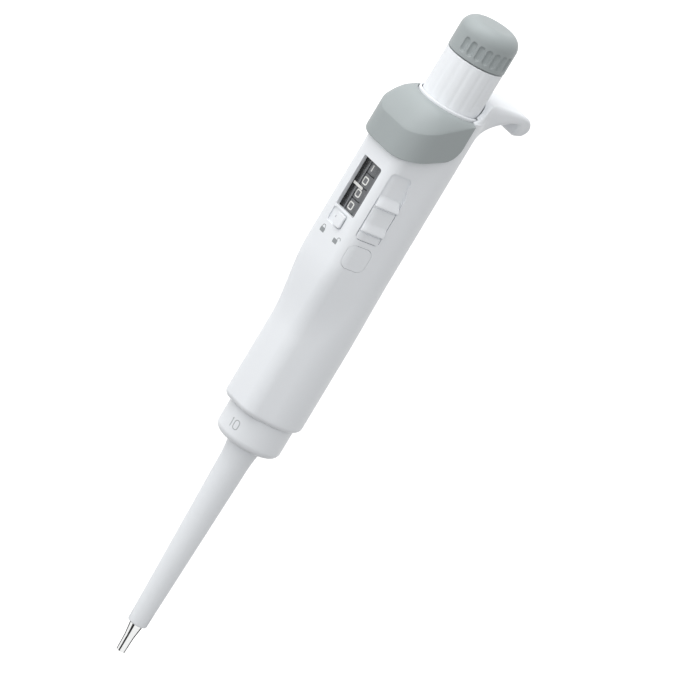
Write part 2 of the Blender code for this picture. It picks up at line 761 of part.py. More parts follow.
def make_transfer_pinion(index, finish, parent):
    step = TURN / PINION_TEETH
    valley = 0.72 * PINION_R
    points = []
    for i in range(PINION_TEETH):
        for share, radius in ((-0.3, valley), (-0.12, PINION_R), (0.12, PINION_R), (0.3, valley)):
            angle = (i + share) * step
            points.append((radius * math.cos(angle), radius * math.sin(angle)))
    middle = drum_middle(index) + DRUM_PITCH / 2
    bm = prism(points, -PINION_H / 2, PINION_H / 2)
    return piece(bm, "transfer_pinion_%d" % (index + 1), finish, (0, 0, middle), parent=parent)


def make_spindle(steel, brass, helper_finish, parent):
    spindle = piece(rod(SPINDLE_R, SPINDLE_Z, SPINDLE_TOP_Z), "setting_spindle", steel, parent=parent)
    hexagon = arc((0, 0), ROD_R + FIT, 0, TURN * 5 / 6, 5)
    bore = prism(hexagon, SPINDLE_Z - PAST, SPINDLE_TOP_Z + PAST)
    combine(spindle, helper(bore, "hexagon_cutter", helper_finish), "DIFFERENCE")
    pitch_r = -DRUM_Y * GEAR_RATIO / (GEAR_RATIO + 1)
    outline = gear_outline(GEAR_TEETH, pitch_r, -math.pi / 2)
    gear = piece(prism(outline, GEAR_Z, GEAR_Z + GEAR_T), "drive_gear", brass, parent=parent)
    bore = rod(SPINDLE_R + RUN, GEAR_Z - PAST, GEAR_Z + GEAR_T + PAST)
    combine(gear, helper(bore, "gear_bore_cutter", helper_finish), "DIFFERENCE")
    return spindle


def make_button(cap_finish, sleeve_finish, steel, helper_finish, parent):
    edge = CAP_EDGE_R
    socket = STUD_R + FIT
    socket_top = CAP_Z + CAP_SOCKET + FIT
    profile = [(0, socket_top), (socket, socket_top), (socket, CAP_Z), (CAP_R, CAP_Z)]
    profile += arc((CAP_R - edge, CAP_TOP_Z - edge), edge, 0, math.pi / 2, 6) + [(0, CAP_TOP_Z)]
    cap = piece(turned(profile, SEGMENTS, hollow=False), "button_cap", cap_finish, parent=parent)
    flutes = []
    for side in range(2):
        for i in range(FLUTE_COUNT):
            angle = FLUTE_FIRST + FLUTE_PITCH * i + math.pi * side - math.pi / 2
            out = CAP_R + FLUTE_OUT
            low = FLUTE_Z + FLUTE_R
            high = FLUTE_Z + FLUTE_H - FLUTE_R
            capsule = arc((0, low), FLUTE_R, -math.pi / 2, 0, 2) + arc((0, high), FLUTE_R, 0, math.pi / 2, 2)
            capsule[0] = (0, capsule[0][1])
            capsule[-1] = (0, capsule[-1][1])
            bm = turned(capsule, TINY_SEGMENTS, hollow=False)
            place = (out * math.cos(angle), out * math.sin(angle), 0)
            bmesh.ops.translate(bm, vec=place, verts=bm.verts)
            flutes.append(bm)
    combine(cap, helper(merged(*flutes), "flute_cutter", helper_finish), "DIFFERENCE")

    inner = BUTTON_R - BUTTON_WALL
    top = CAP_Z - FIT
    ceiling = top - BUTTON_CEILING
    stop = STOP_R + STOP_WALL
    profile = [(STOP_R, STOP_Z), (stop, STOP_Z), (stop, ceiling), (inner, ceiling), (inner, BUTTON_Z)]
    profile += [(BUTTON_R, BUTTON_Z), (BUTTON_R, top), (STUD_R, top), (STUD_R, CAP_Z + CAP_SOCKET)]
    profile += [(0, CAP_Z + CAP_SOCKET), (0, ceiling), (STOP_R, ceiling)]
    bm = turned(profile, SEGMENTS)
    piece(bm, "button_sleeve", sleeve_finish, parent=parent)

    hexagon = arc((0, 0), ROD_R, 0, TURN * 5 / 6, 5)
    piece(prism(hexagon, HEAD_Z + HEAD_T + FIT, ceiling - FIT), "push_rod", steel, parent=parent)


def make_piston(steel, parent):
    head_top = HEAD_Z + HEAD_T
    profile = [(0, PISTON_TIP_Z), (PISTON_R, PISTON_TIP_Z), (PISTON_R, SHANK_Z), (SHANK_R, SHANK_Z + SHANK_TAPER)]
    profile += [(SHANK_R, HEAD_Z), (HEAD_R, HEAD_Z), (HEAD_R, head_top), (0, head_top)]
    return piece(turned(profile, SMALL_SEGMENTS, hollow=False), "piston", steel, parent=parent)


def flange_low():
    return LOWER_Z + LOWER_FLOOR + FIT


def make_cone(steel, parent):
    """The nozzle and cylinder in one: air channel, piston bore and seal pocket run through it."""
    low = flange_low()
    high = low + FLANGE_T
    pocket = high - SEAL_DEPTH
    bore = PISTON_R + BORE_GAP
    bore_end = PISTON_TIP_Z - BUTTON_TRAVEL - CONE_TRAVEL - BORE_SPARE
    profile = [(AIR_R, 0), (CONE_END_R, 0), (CONE_NECK_R, CONE_NECK_Z), (CONE_R, CONE_FLARE_Z)]
    profile += [(CONE_R, CYLINDER_Z), (CYLINDER_R, CYLINDER_Z + CONE_STEP), (CYLINDER_R, low)]
    profile += [(FLANGE_R, low), (FLANGE_R, high), (SEAL_R + FIT, high), (SEAL_R + FIT, pocket)]
    profile += [(bore, pocket), (bore, bore_end), (AIR_R, bore_end - BORE_SPARE)]
    piece(turned(profile, SMALL_SEGMENTS), "tip_cone", steel, parent=parent)
    return pocket


def make_seals(rubber, plastic, pocket, parent):
    inner = PISTON_R + RUN
    low = pocket + FIT
    seal_top = low + SEAL_T
    profile = [(inner, low), (SEAL_R, low), (SEAL_R, seal_top), (inner, seal_top - SEAL_LIP)]
    piece(turned(profile, SMALL_SEGMENTS), "piston_seal", plastic, parent=parent)

    wire = O_RING_WIRE
    centre = (SEAL_R - wire, seal_top + FIT + wire)
    ring = arc(centre, wire, 0, TURN * 7 / 8, 7)
    piece(turned(ring, SMALL_SEGMENTS), "seal_o_ring", rubber, parent=parent)

    low = seal_top + 2 * FIT + 2 * wire
    high = pocket + SEAL_DEPTH - FIT
    piece(tube(inner + FIT, SEAL_R, low, high, SMALL_SEGMENTS), "seal_retainer", plastic, parent=parent)


def make_ejector(shell, plastic, helper_finish, parent):
    edge = SLEEVE_EDGE_R
    bore = SLEEVE_BORE_R
    wide = CYLINDER_R + FIT
    corner = RING_EDGE_R
    floor = RING_Z + RING_FLOOR
    profile = [(bore, SLEEVE_Z)]
    profile += arc((SLEEVE_END_R - edge, SLEEVE_Z + edge), edge, -math.pi / 2, 0, 3)
    profile += [(SLEEVE_TOP_R, SLEEVE_TAPER_Z)]
    for share in (0.5, 0.8, 1.0):
        z = SLEEVE_TAPER_Z + (RING_Z - SLEEVE_TAPER_Z) * share
        profile.append((SLEEVE_TOP_R + SLEEVE_COVE * share**2, z))
    profile += arc((RING_R - corner, RING_Z + corner), corner, -math.pi / 2, 0, 5)
    profile += [(RING_R, RING_TOP_Z), (RING_R - RING_WALL, RING_TOP_Z), (RING_R - RING_WALL, floor)]
    profile += [(wide, floor), (wide, WIDE_BORE_Z), (bore, WIDE_BORE_Z - CONE_STEP / 2)]
    piece(turned(profile, SEGMENTS), "ejector_sleeve", shell, parent=parent)

    top = carrier_top()
    ring = piece(tube(CARRIER_HOLE_R, CARRIER_R, top - CARRIER_T, top), "ejector_carrier", plastic, parent=parent)
    inner = lower_outer_r() + LEG_GAP
    half = LEG_WIDTH / 2
    legs = []
    for side in (-1, 1):
        ends = sorted((side * inner, side * (inner + LEG_T)))
        legs.append(block((ends[0], -half, RING_TOP_Z + FIT), (ends[1], half, top - CARRIER_T / 2)))
    combine(ring, helper(merged(*legs), "carrier_leg_form", helper_finish), "UNION")
    return ring


def carrier_top():
    """The piston's head meets the carrier once the dose and the blow-out are spent."""
    return HEAD_Z - DOSE_STROKE - BLOWOUT_STROKE - CARRIER_PLAY


def lower_outer_r():
    return RING_R - RING_WALL - SKIRT_GAP


def make_lower_body(finish, helper_finish):
    outer = lower_outer_r()
    rim = GRIP_SHAPE[0] - WALL - LOWER_RIM_GAP
    hole = CYLINDER_R + FIT
    floor = LOWER_Z + LOWER_FLOOR
    rim_z = LOWER_TOP_Z - LOWER_RIM_T
    profile = [(hole, LOWER_Z), (outer, LOWER_Z), (outer, rim_z), (rim, rim_z), (rim, LOWER_TOP_Z)]
    profile += [(LOWER_BORE_R, LOWER_TOP_Z), (LOWER_BORE_R, floor), (hole, floor)]
    body = piece(turned(profile, SEGMENTS), "lower_body", finish)
    half = LEG_WIDTH / 2 + FIT
    slots = []
    for side in (-1, 1):
        ends = sorted((side * (RING_R - RING_WALL - FIT), side * (rim + PAST)))
        slots.append(block((ends[0], -half, rim_z - PAST), (ends[1], half, LOWER_TOP_Z + PAST)))
    combine(body, helper(merged(*slots), "leg_slot_cutter", helper_finish), "DIFFERENCE")
    return body


def make_spring(name, coil, turns, low, high, finish):
    """A wire wound from one height to another."""
    radius, wire = coil
    curve = bpy.data.curves.new(name, "CURVE")
    curve.dimensions = "3D"
    curve.bevel_depth = wire
    curve.bevel_resolution = 1
    curve.use_fill_caps = True
    count = turns * COIL_STEPS + 1
    spline = curve.splines.new("POLY")
    spline.points.add(count - 1)
    for i, point in enumerate(spline.points):
        angle = TURN * i / COIL_STEPS
        height = low + wire + (high - low - 2 * wire) * i / (count - 1)
        point.co = (radius * math.cos(angle), radius * math.sin(angle), height, 1)
    made = bpy.data.objects.new(name, curve)
    made.data.materials.append(finish)
    bpy.context.scene.collection.objects.link(made)
    return made


def make_lock(finish, helper_finish, parent):
    """The knob in its track, a neck through the slot and a plate behind the wall."""
    front = -SNOUT_SHAPE[2]
    half = LOCK_W / 2
    high = LOCK_TRACK_H / 2 - FIT
    floor = front + LOCK_DEPTH - FIT
    knob = block((-half, front - LOCK_PROUD, LOCK_Z - high), (half, floor, LOCK_Z + high))
    lock = piece(rounded(knob, LOCK_EDGE_R, 2), "lock_slider", finish, (lock_middle(), 0, 0), parent=parent)
    neck = LOCK_NECK_W / 2
    inside = front + WALL + LOCK_PLATE_GAP
    tall = LOCK_NECK_H / 2
    stem = block((-neck, floor - JOIN, LOCK_Z - tall), (neck, inside + JOIN, LOCK_Z + tall))
    combine(lock, helper(stem, "lock_stem_form", helper_finish, (lock_middle(), 0, 0)), "UNION")
    low_x, high_x = lock_slot()
    cover = LOCK_PLATE_H / 2
    plate = block(
        (low_x - FIT, inside, LOCK_Z - cover), (high_x + LOCK_TRAVEL + FIT, inside + RETAINER_T, LOCK_Z + cover)
    )
    combine(lock, helper(plate, "lock_plate_form", helper_finish), "UNION")
    return lock


def ridged_form(name, finish, low, high):
    """The handle's own shape with two saw-tooth ridges round it, for the slide's outer face."""
    stations = [(low, 0.0)]
    for up in RIDGE_UPS:
        z = TRACK_Z + up
        crest = (z + RIDGE_CREST, RIDGE_PROUD * (1 - RIDGE_CREST / RIDGE_H))
        stations += [(z - RIDGE_LEAD, 0.0), (z, RIDGE_PROUD), crest, (z + RIDGE_H, 0.0)]
    stations.append((high, 0.0))
    return helper(loft([handle_ring(z, -proud) for z, proud in stations]), name, finish)


def make_adjuster(finish, helper_finish, parent):
    """A cover plate that follows the flank, two thumb ridges, and a peg that slides in the flank's slot."""
    place, turn_z = flank_place()
    half = TRACK_W / 2 - FIT
    low = TRACK_Z + FIT
    high = TRACK_STEP_Z - ADJUST_TRAVEL - FIT
    under = FIT - TRACK_DEPTH
    bm = rounded(block((-BEYOND / 2, -half, low), (PAST, half, high)), TRACK_CORNER_R - FIT, 2, along=0)
    adjuster = piece(bm, "volume_adjuster", finish, place, turn_z, parent)
    combine(adjuster, ridged_form("ridged_form", helper_finish, low - PAST, high + PAST), "INTERSECT")
    combine(adjuster, sunk_form("slide_under_form", helper_finish, -under), "DIFFERENCE")
    inside = -WALL - FIT
    peg = PEG_W / 2
    stem = block((inside - JOIN, -peg, PEG_Z), (under + JOIN, peg, PEG_Z + PEG_H))
    combine(adjuster, helper(stem, "adjuster_stem_form", helper_finish, place, turn_z), "UNION")
    wide = PEG_PLATE_SHARE * PEG_W
    plate = block((inside - RETAINER_T, -wide, PEG_Z), (inside, wide, PEG_Z + PEG_H))
    combine(adjuster, helper(plate, "adjuster_plate_form", helper_finish, place, turn_z), "UNION")
    return adjuster


def make_tag_cover(finish, helper_finish):
    place, turn_z = flank_place()
    half = TRACK_W / 2 - FIT
    bm = block((-BEYOND / 2, -half, TAG_Z + FIT), (PAST, half, TAG_Z + TAG_H - FIT))
    bm = rounded(bm, TAG_CORNER_R - FIT, 4, along=0)
    cover = piece(bm, "tag_cover", finish, place, turn_z)
    combine(cover, sunk_form("tag_face_form", helper_finish, -TAG_PROUD), "INTERSECT")
    combine(cover, sunk_form("tag_under_form", helper_finish, TAG_DEPTH), "DIFFERENCE")
    return cover


def build():
    clear_scene()
    shell = plain_material("moulded white plastic", (0.86, 0.87, 0.89), 0.42)
    grey = plain_material("moulded grey plastic", (0.40, 0.43, 0.43), 0.48)
    clear = plain_material("clear window plastic", (0.9, 0.9, 0.9), 0.08, transmission=0.9)
    black = plain_material("black counter plastic", (0.03, 0.03, 0.035), 0.5)
    frame_grey = plain_material("glass-filled plastic", (0.2, 0.21, 0.22), 0.6)
    steel = plain_material("polished stainless steel", (0.62, 0.62, 0.62), 0.22, metallic=1.0)
    brass = plain_material("turned brass", (0.72, 0.53, 0.25), 0.3, metallic=1.0)
    rubber = plain_material("black rubber", (0.02, 0.02, 0.02), 0.75)
    slick = plain_material("low-friction plastic", (0.75, 0.72, 0.66), 0.5)

    main_axis = empty_at("main_axis", (0, 0, 0))
    spindle_turn = empty_at("spindle_turn", (0, 0, 0), main_axis)
    button_travel = empty_at("button_travel", (0, 0, 0), spindle_turn)
    blowout_travel = empty_at("blowout_travel", (0, 0, 0), main_axis)
    piston_travel = empty_at("piston_travel", (0, 0, 0), main_axis)
    ejector_travel = empty_at("ejector_travel", (0, 0, 0), main_axis)
    cone_travel = empty_at("cone_travel", (0, 0, 0), main_axis)
    drum_axis = empty_at("drum_axis", (0, DRUM_Y, 0))
    pinion_axis = empty_at("pinion_axis", (PINION_X, DRUM_Y, 0))
    lock_travel = empty_at("lock_travel", (0, 0, 0))
    adjuster_travel = empty_at("adjuster_travel", (0, 0, 0))

    make_handle(shell, black)
    make_collar(grey)
    make_guide_ring(shell)
    make_lens(clear)
    make_tag_cover(shell, black)
    make_lock(shell, black, lock_travel)
    make_adjuster(shell, black, adjuster_travel)

    make_counter_frame(frame_grey, black)
    shaft_low = FRAME_Z - 0.5 * MM
    shaft_high = FRAME_TOP_Z + 0.5 * MM
    for name, x in (("drum_shaft", 0), ("pinion_shaft", PINION_X)):
        piece(rod(DRUM_SHAFT_R, shaft_low, shaft_high, TINY_SEGMENTS), name, steel, (x, DRUM_Y, 0))
    for index in range(DRUM_COUNT):
        make_drum(index, black, black, drum_axis)
    for index in range(DRUM_COUNT - 1):
        pinion = make_transfer_pinion(index, slick, pinion_axis)
        low = drum_middle(index)
        bore = rod(DRUM_SHAFT_R + RUN, low - DRUM_PITCH, low + 2 * DRUM_PITCH, TINY_SEGMENTS)
        cutter = helper(bore, "pinion_bore_cutter_%d" % (index + 1), black, (PINION_X, DRUM_Y, 0))
        combine(pinion, cutter, "DIFFERENCE")

    make_spindle(steel, brass, black, spindle_turn)
    nut_low = FRAME_TOP_Z + FIT
    piece(tube(SPINDLE_R + FIT, NUT_R, nut_low, nut_low + NUT_T, SMALL_SEGMENTS), "spindle_nut", brass)
    make_button(grey, shell, steel, black, button_travel)
    plate_top = STOP_Z - DOSE_STROKE
    plate_low = plate_top - BLOWOUT_T
    plate = tube(SPINDLE_R + 2 * FIT, PLATE_R, plate_low, plate_top, SMALL_SEGMENTS)
    piece(plate, "blowout_plate", steel, parent=blowout_travel)
    low = nut_low + NUT_T + FIT
    make_spring("blowout_spring", BLOWOUT_COIL, BLOWOUT_TURNS, low, plate_low - FIT, steel)

    make_piston(steel, piston_travel)
    make_spring("return_spring", RETURN_COIL, RETURN_TURNS, SEAT_Z + SEAT_T + FIT, HEAD_Z - FIT, steel)
    pocket = make_cone(steel, cone_travel)
    make_seals(rubber, slick, pocket, cone_travel)
    make_lower_body(slick, black)
    seat = tube(SEAT_HOLE_R, LOWER_BORE_R - FIT, SEAT_Z, SEAT_Z + SEAT_T, SMALL_SEGMENTS)
    piece(seat, "spring_seat", steel)
    low = flange_low() + FLANGE_T + FIT
    make_spring("cone_spring", CONE_COIL, CONE_TURNS, low, SEAT_Z - FIT, steel)
    make_ejector(shell, slick, black, ejector_travel)
    high = carrier_top() - CARRIER_T - FIT
    make_spring("ejector_spring", EJECTOR_COIL, EJECTOR_TURNS, LOWER_TOP_Z + FIT, high, steel)


build()
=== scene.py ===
# %% [markdown]
# # A micropipette on a white studio ground
# A micropipette draws up a few microlitres of liquid. Its white handle carries a counter
# window, a lock slide, an adjustment slide and a finger hook; a button stands on top, and a
# sleeve below it pushes the used tip off a steel nozzle. The solids come from the packed
# model, which fixes every size and every moving body. This script gives those solids their
# fine shapes, their finishes, the light and the camera.

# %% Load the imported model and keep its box
import json
import math

import bmesh
import bpy
from mathutils import Matrix, Vector
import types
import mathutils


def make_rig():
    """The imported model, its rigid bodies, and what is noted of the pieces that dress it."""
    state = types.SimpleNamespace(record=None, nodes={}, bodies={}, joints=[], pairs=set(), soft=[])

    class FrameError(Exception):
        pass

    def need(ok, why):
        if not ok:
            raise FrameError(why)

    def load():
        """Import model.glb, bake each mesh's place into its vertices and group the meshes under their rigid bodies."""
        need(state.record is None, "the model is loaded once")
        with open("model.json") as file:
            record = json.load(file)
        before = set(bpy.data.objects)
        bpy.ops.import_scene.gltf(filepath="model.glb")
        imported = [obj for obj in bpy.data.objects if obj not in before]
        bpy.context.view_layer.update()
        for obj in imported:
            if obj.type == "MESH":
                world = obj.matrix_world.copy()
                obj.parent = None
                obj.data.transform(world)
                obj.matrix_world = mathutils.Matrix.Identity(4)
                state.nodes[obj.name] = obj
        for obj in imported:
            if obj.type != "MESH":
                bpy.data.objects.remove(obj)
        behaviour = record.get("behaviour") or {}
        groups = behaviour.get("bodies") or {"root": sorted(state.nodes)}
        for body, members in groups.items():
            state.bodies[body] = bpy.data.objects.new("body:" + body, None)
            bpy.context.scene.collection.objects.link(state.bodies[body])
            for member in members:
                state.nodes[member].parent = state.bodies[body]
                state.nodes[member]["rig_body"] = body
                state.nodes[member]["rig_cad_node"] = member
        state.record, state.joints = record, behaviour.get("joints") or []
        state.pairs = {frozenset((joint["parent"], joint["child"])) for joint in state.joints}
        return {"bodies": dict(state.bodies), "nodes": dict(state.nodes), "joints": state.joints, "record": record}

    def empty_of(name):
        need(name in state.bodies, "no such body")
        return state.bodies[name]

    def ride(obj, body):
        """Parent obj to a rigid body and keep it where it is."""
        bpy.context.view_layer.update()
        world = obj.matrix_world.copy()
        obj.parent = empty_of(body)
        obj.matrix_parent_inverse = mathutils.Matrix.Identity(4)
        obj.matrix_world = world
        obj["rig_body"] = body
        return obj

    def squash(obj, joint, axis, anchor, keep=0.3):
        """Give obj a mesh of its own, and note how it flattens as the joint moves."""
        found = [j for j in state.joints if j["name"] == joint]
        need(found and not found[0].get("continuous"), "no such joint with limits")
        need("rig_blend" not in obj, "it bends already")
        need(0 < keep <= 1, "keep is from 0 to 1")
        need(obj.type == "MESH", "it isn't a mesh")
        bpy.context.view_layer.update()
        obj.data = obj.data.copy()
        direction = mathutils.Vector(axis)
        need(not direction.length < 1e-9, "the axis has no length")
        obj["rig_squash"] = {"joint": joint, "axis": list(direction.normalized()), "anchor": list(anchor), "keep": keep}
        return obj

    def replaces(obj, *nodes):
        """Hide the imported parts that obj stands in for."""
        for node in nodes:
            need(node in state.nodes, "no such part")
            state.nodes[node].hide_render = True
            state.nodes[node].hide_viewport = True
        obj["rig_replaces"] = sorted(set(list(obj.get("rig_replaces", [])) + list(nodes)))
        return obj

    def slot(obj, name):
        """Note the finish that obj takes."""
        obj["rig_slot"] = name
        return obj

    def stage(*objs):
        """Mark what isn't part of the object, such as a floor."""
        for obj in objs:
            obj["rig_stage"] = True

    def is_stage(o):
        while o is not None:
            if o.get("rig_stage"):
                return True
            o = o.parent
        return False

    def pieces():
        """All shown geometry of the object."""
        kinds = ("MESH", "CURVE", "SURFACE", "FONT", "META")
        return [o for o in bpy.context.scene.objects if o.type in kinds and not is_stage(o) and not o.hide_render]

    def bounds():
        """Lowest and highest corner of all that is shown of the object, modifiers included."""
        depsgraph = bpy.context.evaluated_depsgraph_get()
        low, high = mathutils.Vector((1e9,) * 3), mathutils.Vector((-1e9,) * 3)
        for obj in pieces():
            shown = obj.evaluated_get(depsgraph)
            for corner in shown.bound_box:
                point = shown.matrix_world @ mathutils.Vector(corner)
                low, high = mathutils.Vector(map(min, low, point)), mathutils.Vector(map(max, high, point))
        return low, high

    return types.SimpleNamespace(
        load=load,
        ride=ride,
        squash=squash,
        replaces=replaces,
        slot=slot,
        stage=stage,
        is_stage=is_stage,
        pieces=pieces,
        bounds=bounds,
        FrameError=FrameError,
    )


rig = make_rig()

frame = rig.load()
cad_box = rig.bounds()
MM = 0.001
TURN = 2 * math.pi


def mm(*lengths):
    """Lengths in millimetres, as metres."""
    return tuple(length * MM for length in lengths)


def around(middle, half):
    """A span about its middle."""
    return middle - half, middle + half


print("bodies:", ", ".join(sorted(frame["bodies"])))

# %% [markdown]
# ## Colours and nodes
# Colours are given as sRGB hex values, but a shader works in linear light, so one
# function turns the one into the other. A second function adds any shader node with its
# settings and its links, which keeps each material short enough to read in one look.

# %% Colour and node helpers
def linear(hex_colour):
    """An sRGB hex value as the linear colour that a shader takes."""
    parts = [int(hex_colour[i : i + 2], 16) / 255 for i in (1, 3, 5)]
    return (*[p / 12.92 if p <= 0.04045 else ((p + 0.055) / 1.055) ** 2.4 for p in parts], 1.0)


def add_node(tree, kind, inputs=None, links=None, **settings):
    """Adds a node, gives its sockets numbers or links, and sets its options."""
    node = tree.nodes.new(kind)
    for option, value in settings.items():
        setattr(node, option, value)
    for socket, value in (inputs or {}).items():
        node.inputs[socket].default_value = value
    for socket, source in (links or {}).items():
        tree.links.new(source, node.inputs[socket])
    return node


def start_material(name, inputs):
    """A material with one Principled shader and the object's own coordinates."""
    made = bpy.data.materials.new(name)
    made.use_nodes = True
    tree = made.node_tree
    shader = tree.nodes["Principled BSDF"]
    for socket, value in inputs.items():
        shader.inputs[socket].default_value = value
    place = add_node(tree, "ShaderNodeTexCoord").outputs["Object"]
    return made, tree, shader, place


def add_noise(tree, place, size, **inputs):
    """A noise whose spots are about a size across."""
    settings = {"Scale": 1 / size, "Detail": 2.0, **inputs}
    return add_node(tree, "ShaderNodeTexNoise", settings, {"Vector": place}).outputs["Fac"]


def tint_with(tree, shader, noise, colour, other):
    """Lets a noise mix two colours."""
    inputs = {6: linear(colour), 7: linear(other)}
    tint = add_node(tree, "ShaderNodeMix", inputs, {0: noise}, data_type="RGBA")
    tree.links.new(tint.outputs[2], shader.inputs["Base Color"])


def roughen_with(tree, shader, noise, low, high):
    """Lets a noise drive the roughness between two values."""
    gloss = add_node(tree, "ShaderNodeMapRange", {"To Min": low, "To Max": high}, {"Value": noise})
    tree.links.new(gloss.outputs["Result"], shader.inputs["Roughness"])


def bump_with(tree, shader, noise, strength, depth):
    """Lets a noise stand up as fine relief."""
    bump = add_node(tree, "ShaderNodeBump", {"Strength": strength, "Distance": depth}, {"Height": noise})
    tree.links.new(bump.outputs["Normal"], shader.inputs["Normal"])


# %% [markdown]
# ## Moulded plastic
# The handle, the sleeve and the button are injection moulded. Their steel mould is spark
# eroded, which leaves a fine even grain and a satin gloss, and the colour drifts very
# slightly where the plastic flowed. A fine noise drives the bump, a broad one drifts the
# colour, and the same fine noise varies the roughness. The real grain is about 0.1 mm; it is
# drawn at 0.5 mm here, because a finer one would be lost between the picture's pixels.

# %% Moulded plastics
GRAIN = 0.5 * MM
DRIFT = 28 * MM


def moulded_plastic(name, colour, drifted, roughness, grain_depth):
    """Satin plastic: grain in the bump and the roughness, and a slow drift of colour."""
    made, tree, shader, place = start_material(name, {"IOR": 1.5})
    tint_with(tree, shader, add_noise(tree, place, DRIFT), colour, drifted)
    grain = add_noise(tree, place, GRAIN, Detail=3.0, Roughness=0.6)
    roughen_with(tree, shader, grain, roughness - 0.05, roughness + 0.05)
    bump_with(tree, shader, grain, 0.35, grain_depth)
    return made


white_shell = moulded_plastic("satin white moulded PBT", "#E9ECEF", "#E4E7EB", 0.40, 0.012 * MM)
grey_trim = moulded_plastic("satin grey moulded PBT", "#9DA4A5", "#979E9F", 0.46, 0.012 * MM)
# This black is also the painted shade between the counter drums.
black_mask_and_shade = moulded_plastic("black moulded ABS and painted shade", "#101113", "#141517", 0.42, 0.002 * MM)
# This grey also draws a painted highlight line on the counter mask.
drum_grey_and_highlight = moulded_plastic("dark grey moulded acetal and painted highlight", "#707275", "#77797C", 0.45, 0.002 * MM)
natural_acetal = moulded_plastic("natural moulded acetal", "#DDD8CC", "#D6D0C3", 0.45, 0.01 * MM)
frame_nylon = moulded_plastic("glass-filled moulded nylon", "#53565A", "#4C4F53", 0.55, 0.02 * MM)
print("plastics:", white_shell.name, grey_trim.name, drum_grey_and_highlight.name)

# %% [markdown]
# ## Metals
# The nozzle is turned stainless steel, then polished, so it mirrors the studio as long
# bright and dark streaks, crossed by the faintest turning rings. The gear and the nut are
# turned brass, and the springs are drawn wire, which is duller. The rings come from a noise
# that is stretched until only its height changes. They stand 0.12 mm apart on the real
# part and are drawn at 0.35 mm.

# %% Metals
RING_SPACING = 0.35 * MM


def turned_metal(name, colour, worn, roughness, ring_depth):
    """Metal with turning rings across its axis, and a slight change of shade along it."""
    made, tree, shader, place = start_material(name, {"Metallic": 1.0})
    flat = add_node(tree, "ShaderNodeMapping", {"Scale": (0.02, 0.02, 1.0)}, {"Vector": place})
    rings = add_noise(tree, flat.outputs["Vector"], RING_SPACING)
    tint_with(tree, shader, rings, colour, worn)
    roughen_with(tree, shader, rings, roughness - 0.03, roughness + 0.05)
    bump_with(tree, shader, rings, 0.2, ring_depth)
    return made


polished_steel = turned_metal("polished stainless steel", "#DADBDA", "#CFD0D0", 0.10, 0.003 * MM)
ground_steel = turned_metal("ground stainless steel", "#C4C5C6", "#B5B6B8", 0.26, 0.006 * MM)
spring_wire = turned_metal("drawn spring steel wire", "#A9AAAD", "#96979A", 0.32, 0.004 * MM)
turned_brass = turned_metal("turned brass", "#D9B66B", "#C9A457", 0.24, 0.006 * MM)
print("metals:", polished_steel.name, turned_brass.name)

# %% [markdown]
# ## Rubber, inks and the window
# The O-ring is nitrile rubber, nearly black and dull. Digits and pictograms are pad printed:
# a thin flat ink with a slightly uneven edge of gloss. The window is clear polycarbonate. It
# is drawn as a mostly see-through plastic skin instead of true glass, because light then
# reaches the drums behind it directly, and it keeps the gloss that tells the eye it is there.

# %% Rubber, inks and window plastic
def matt_stuff(name, colour, drifted, roughness, speck):
    """A dull even surface with fine specks in its colour."""
    made, tree, shader, place = start_material(name, {"Roughness": roughness})
    tint_with(tree, shader, add_noise(tree, place, speck), colour, drifted)
    return made


nitrile_rubber = matt_stuff("black nitrile rubber", "#1B1B1C", "#232324", 0.72, 0.4 * MM)
white_ink = matt_stuff("white pad print ink", "#F4F4F1", "#ECECE9", 0.5, 0.3 * MM)
grey_ink = matt_stuff("grey pad print ink", "#8B9092", "#95999B", 0.5, 0.3 * MM)

SMEAR = 4 * MM
window_skin = {"Base Color": linear("#24272B"), "IOR": 1.58, "Alpha": 0.05, "Specular IOR Level": 0.12}
clear_window, tree, shader, place = start_material("clear polycarbonate", window_skin)
roughen_with(tree, shader, add_noise(tree, place, SMEAR), 0.03, 0.09)
print("inks:", white_ink.name, grey_ink.name, "- window:", clear_window.name)

# %% [markdown]
# ## Modelling helpers
# Most of a pipette is round about one axis, so most pieces are an outline that is spun. Real
# moulded edges are never knife sharp, so an outline is written with a radius at each corner.
# Other forms are a row of sections that are bridged, and holes are cut by another closed
# shape. Each finished bmesh becomes an object that stays at the origin and rides on the
# body that carries it.

# %% Outline helpers
SEGMENTS = 128
CORNER_STEPS = 6


def arc(centre, radius, start, end, steps):
    """Points along an arc, both ends included."""
    angles = [start + (end - start) * i / steps for i in range(steps + 1)]
    return [(centre[0] + radius * math.cos(a), centre[1] + radius * math.sin(a)) for a in angles]


def softened(outline, closed=True):
    """Turns (r, z, corner radius) points into an outline with its corners rounded."""
    points = []
    for i, (r, z, radius) in enumerate(outline):
        here = Vector((r, z))
        if radius == 0 or (not closed and i in (0, len(outline) - 1)):
            points.append((r, z))
            continue
        back = (Vector(outline[i - 1][:2]) - here).normalized()
        on = (Vector(outline[(i + 1) % len(outline)][:2]) - here).normalized()
        half = back.angle(on) / 2
        start = here + back * (radius / math.tan(half))
        centre = here + (back + on).normalized() * (radius / math.sin(half))
        turn = (start - centre).angle_signed(here + on * (radius / math.tan(half)) - centre)
        for step in range(CORNER_STEPS + 1):
            spoke = start - centre
            spoke.rotate(Matrix.Rotation(-turn * step / CORNER_STEPS, 2))
            points.append(tuple(centre + spoke))
    return points


def tube(inner_r, outer_r, low, high):
    """The plain outline of a ring, or of a rod when the inner radius is zero."""
    return [(inner_r, low), (outer_r, low), (outer_r, high), (inner_r, high)]


def eased(share):
    """A share that sets off and arrives gently."""
    return share * share * (3 - 2 * share)


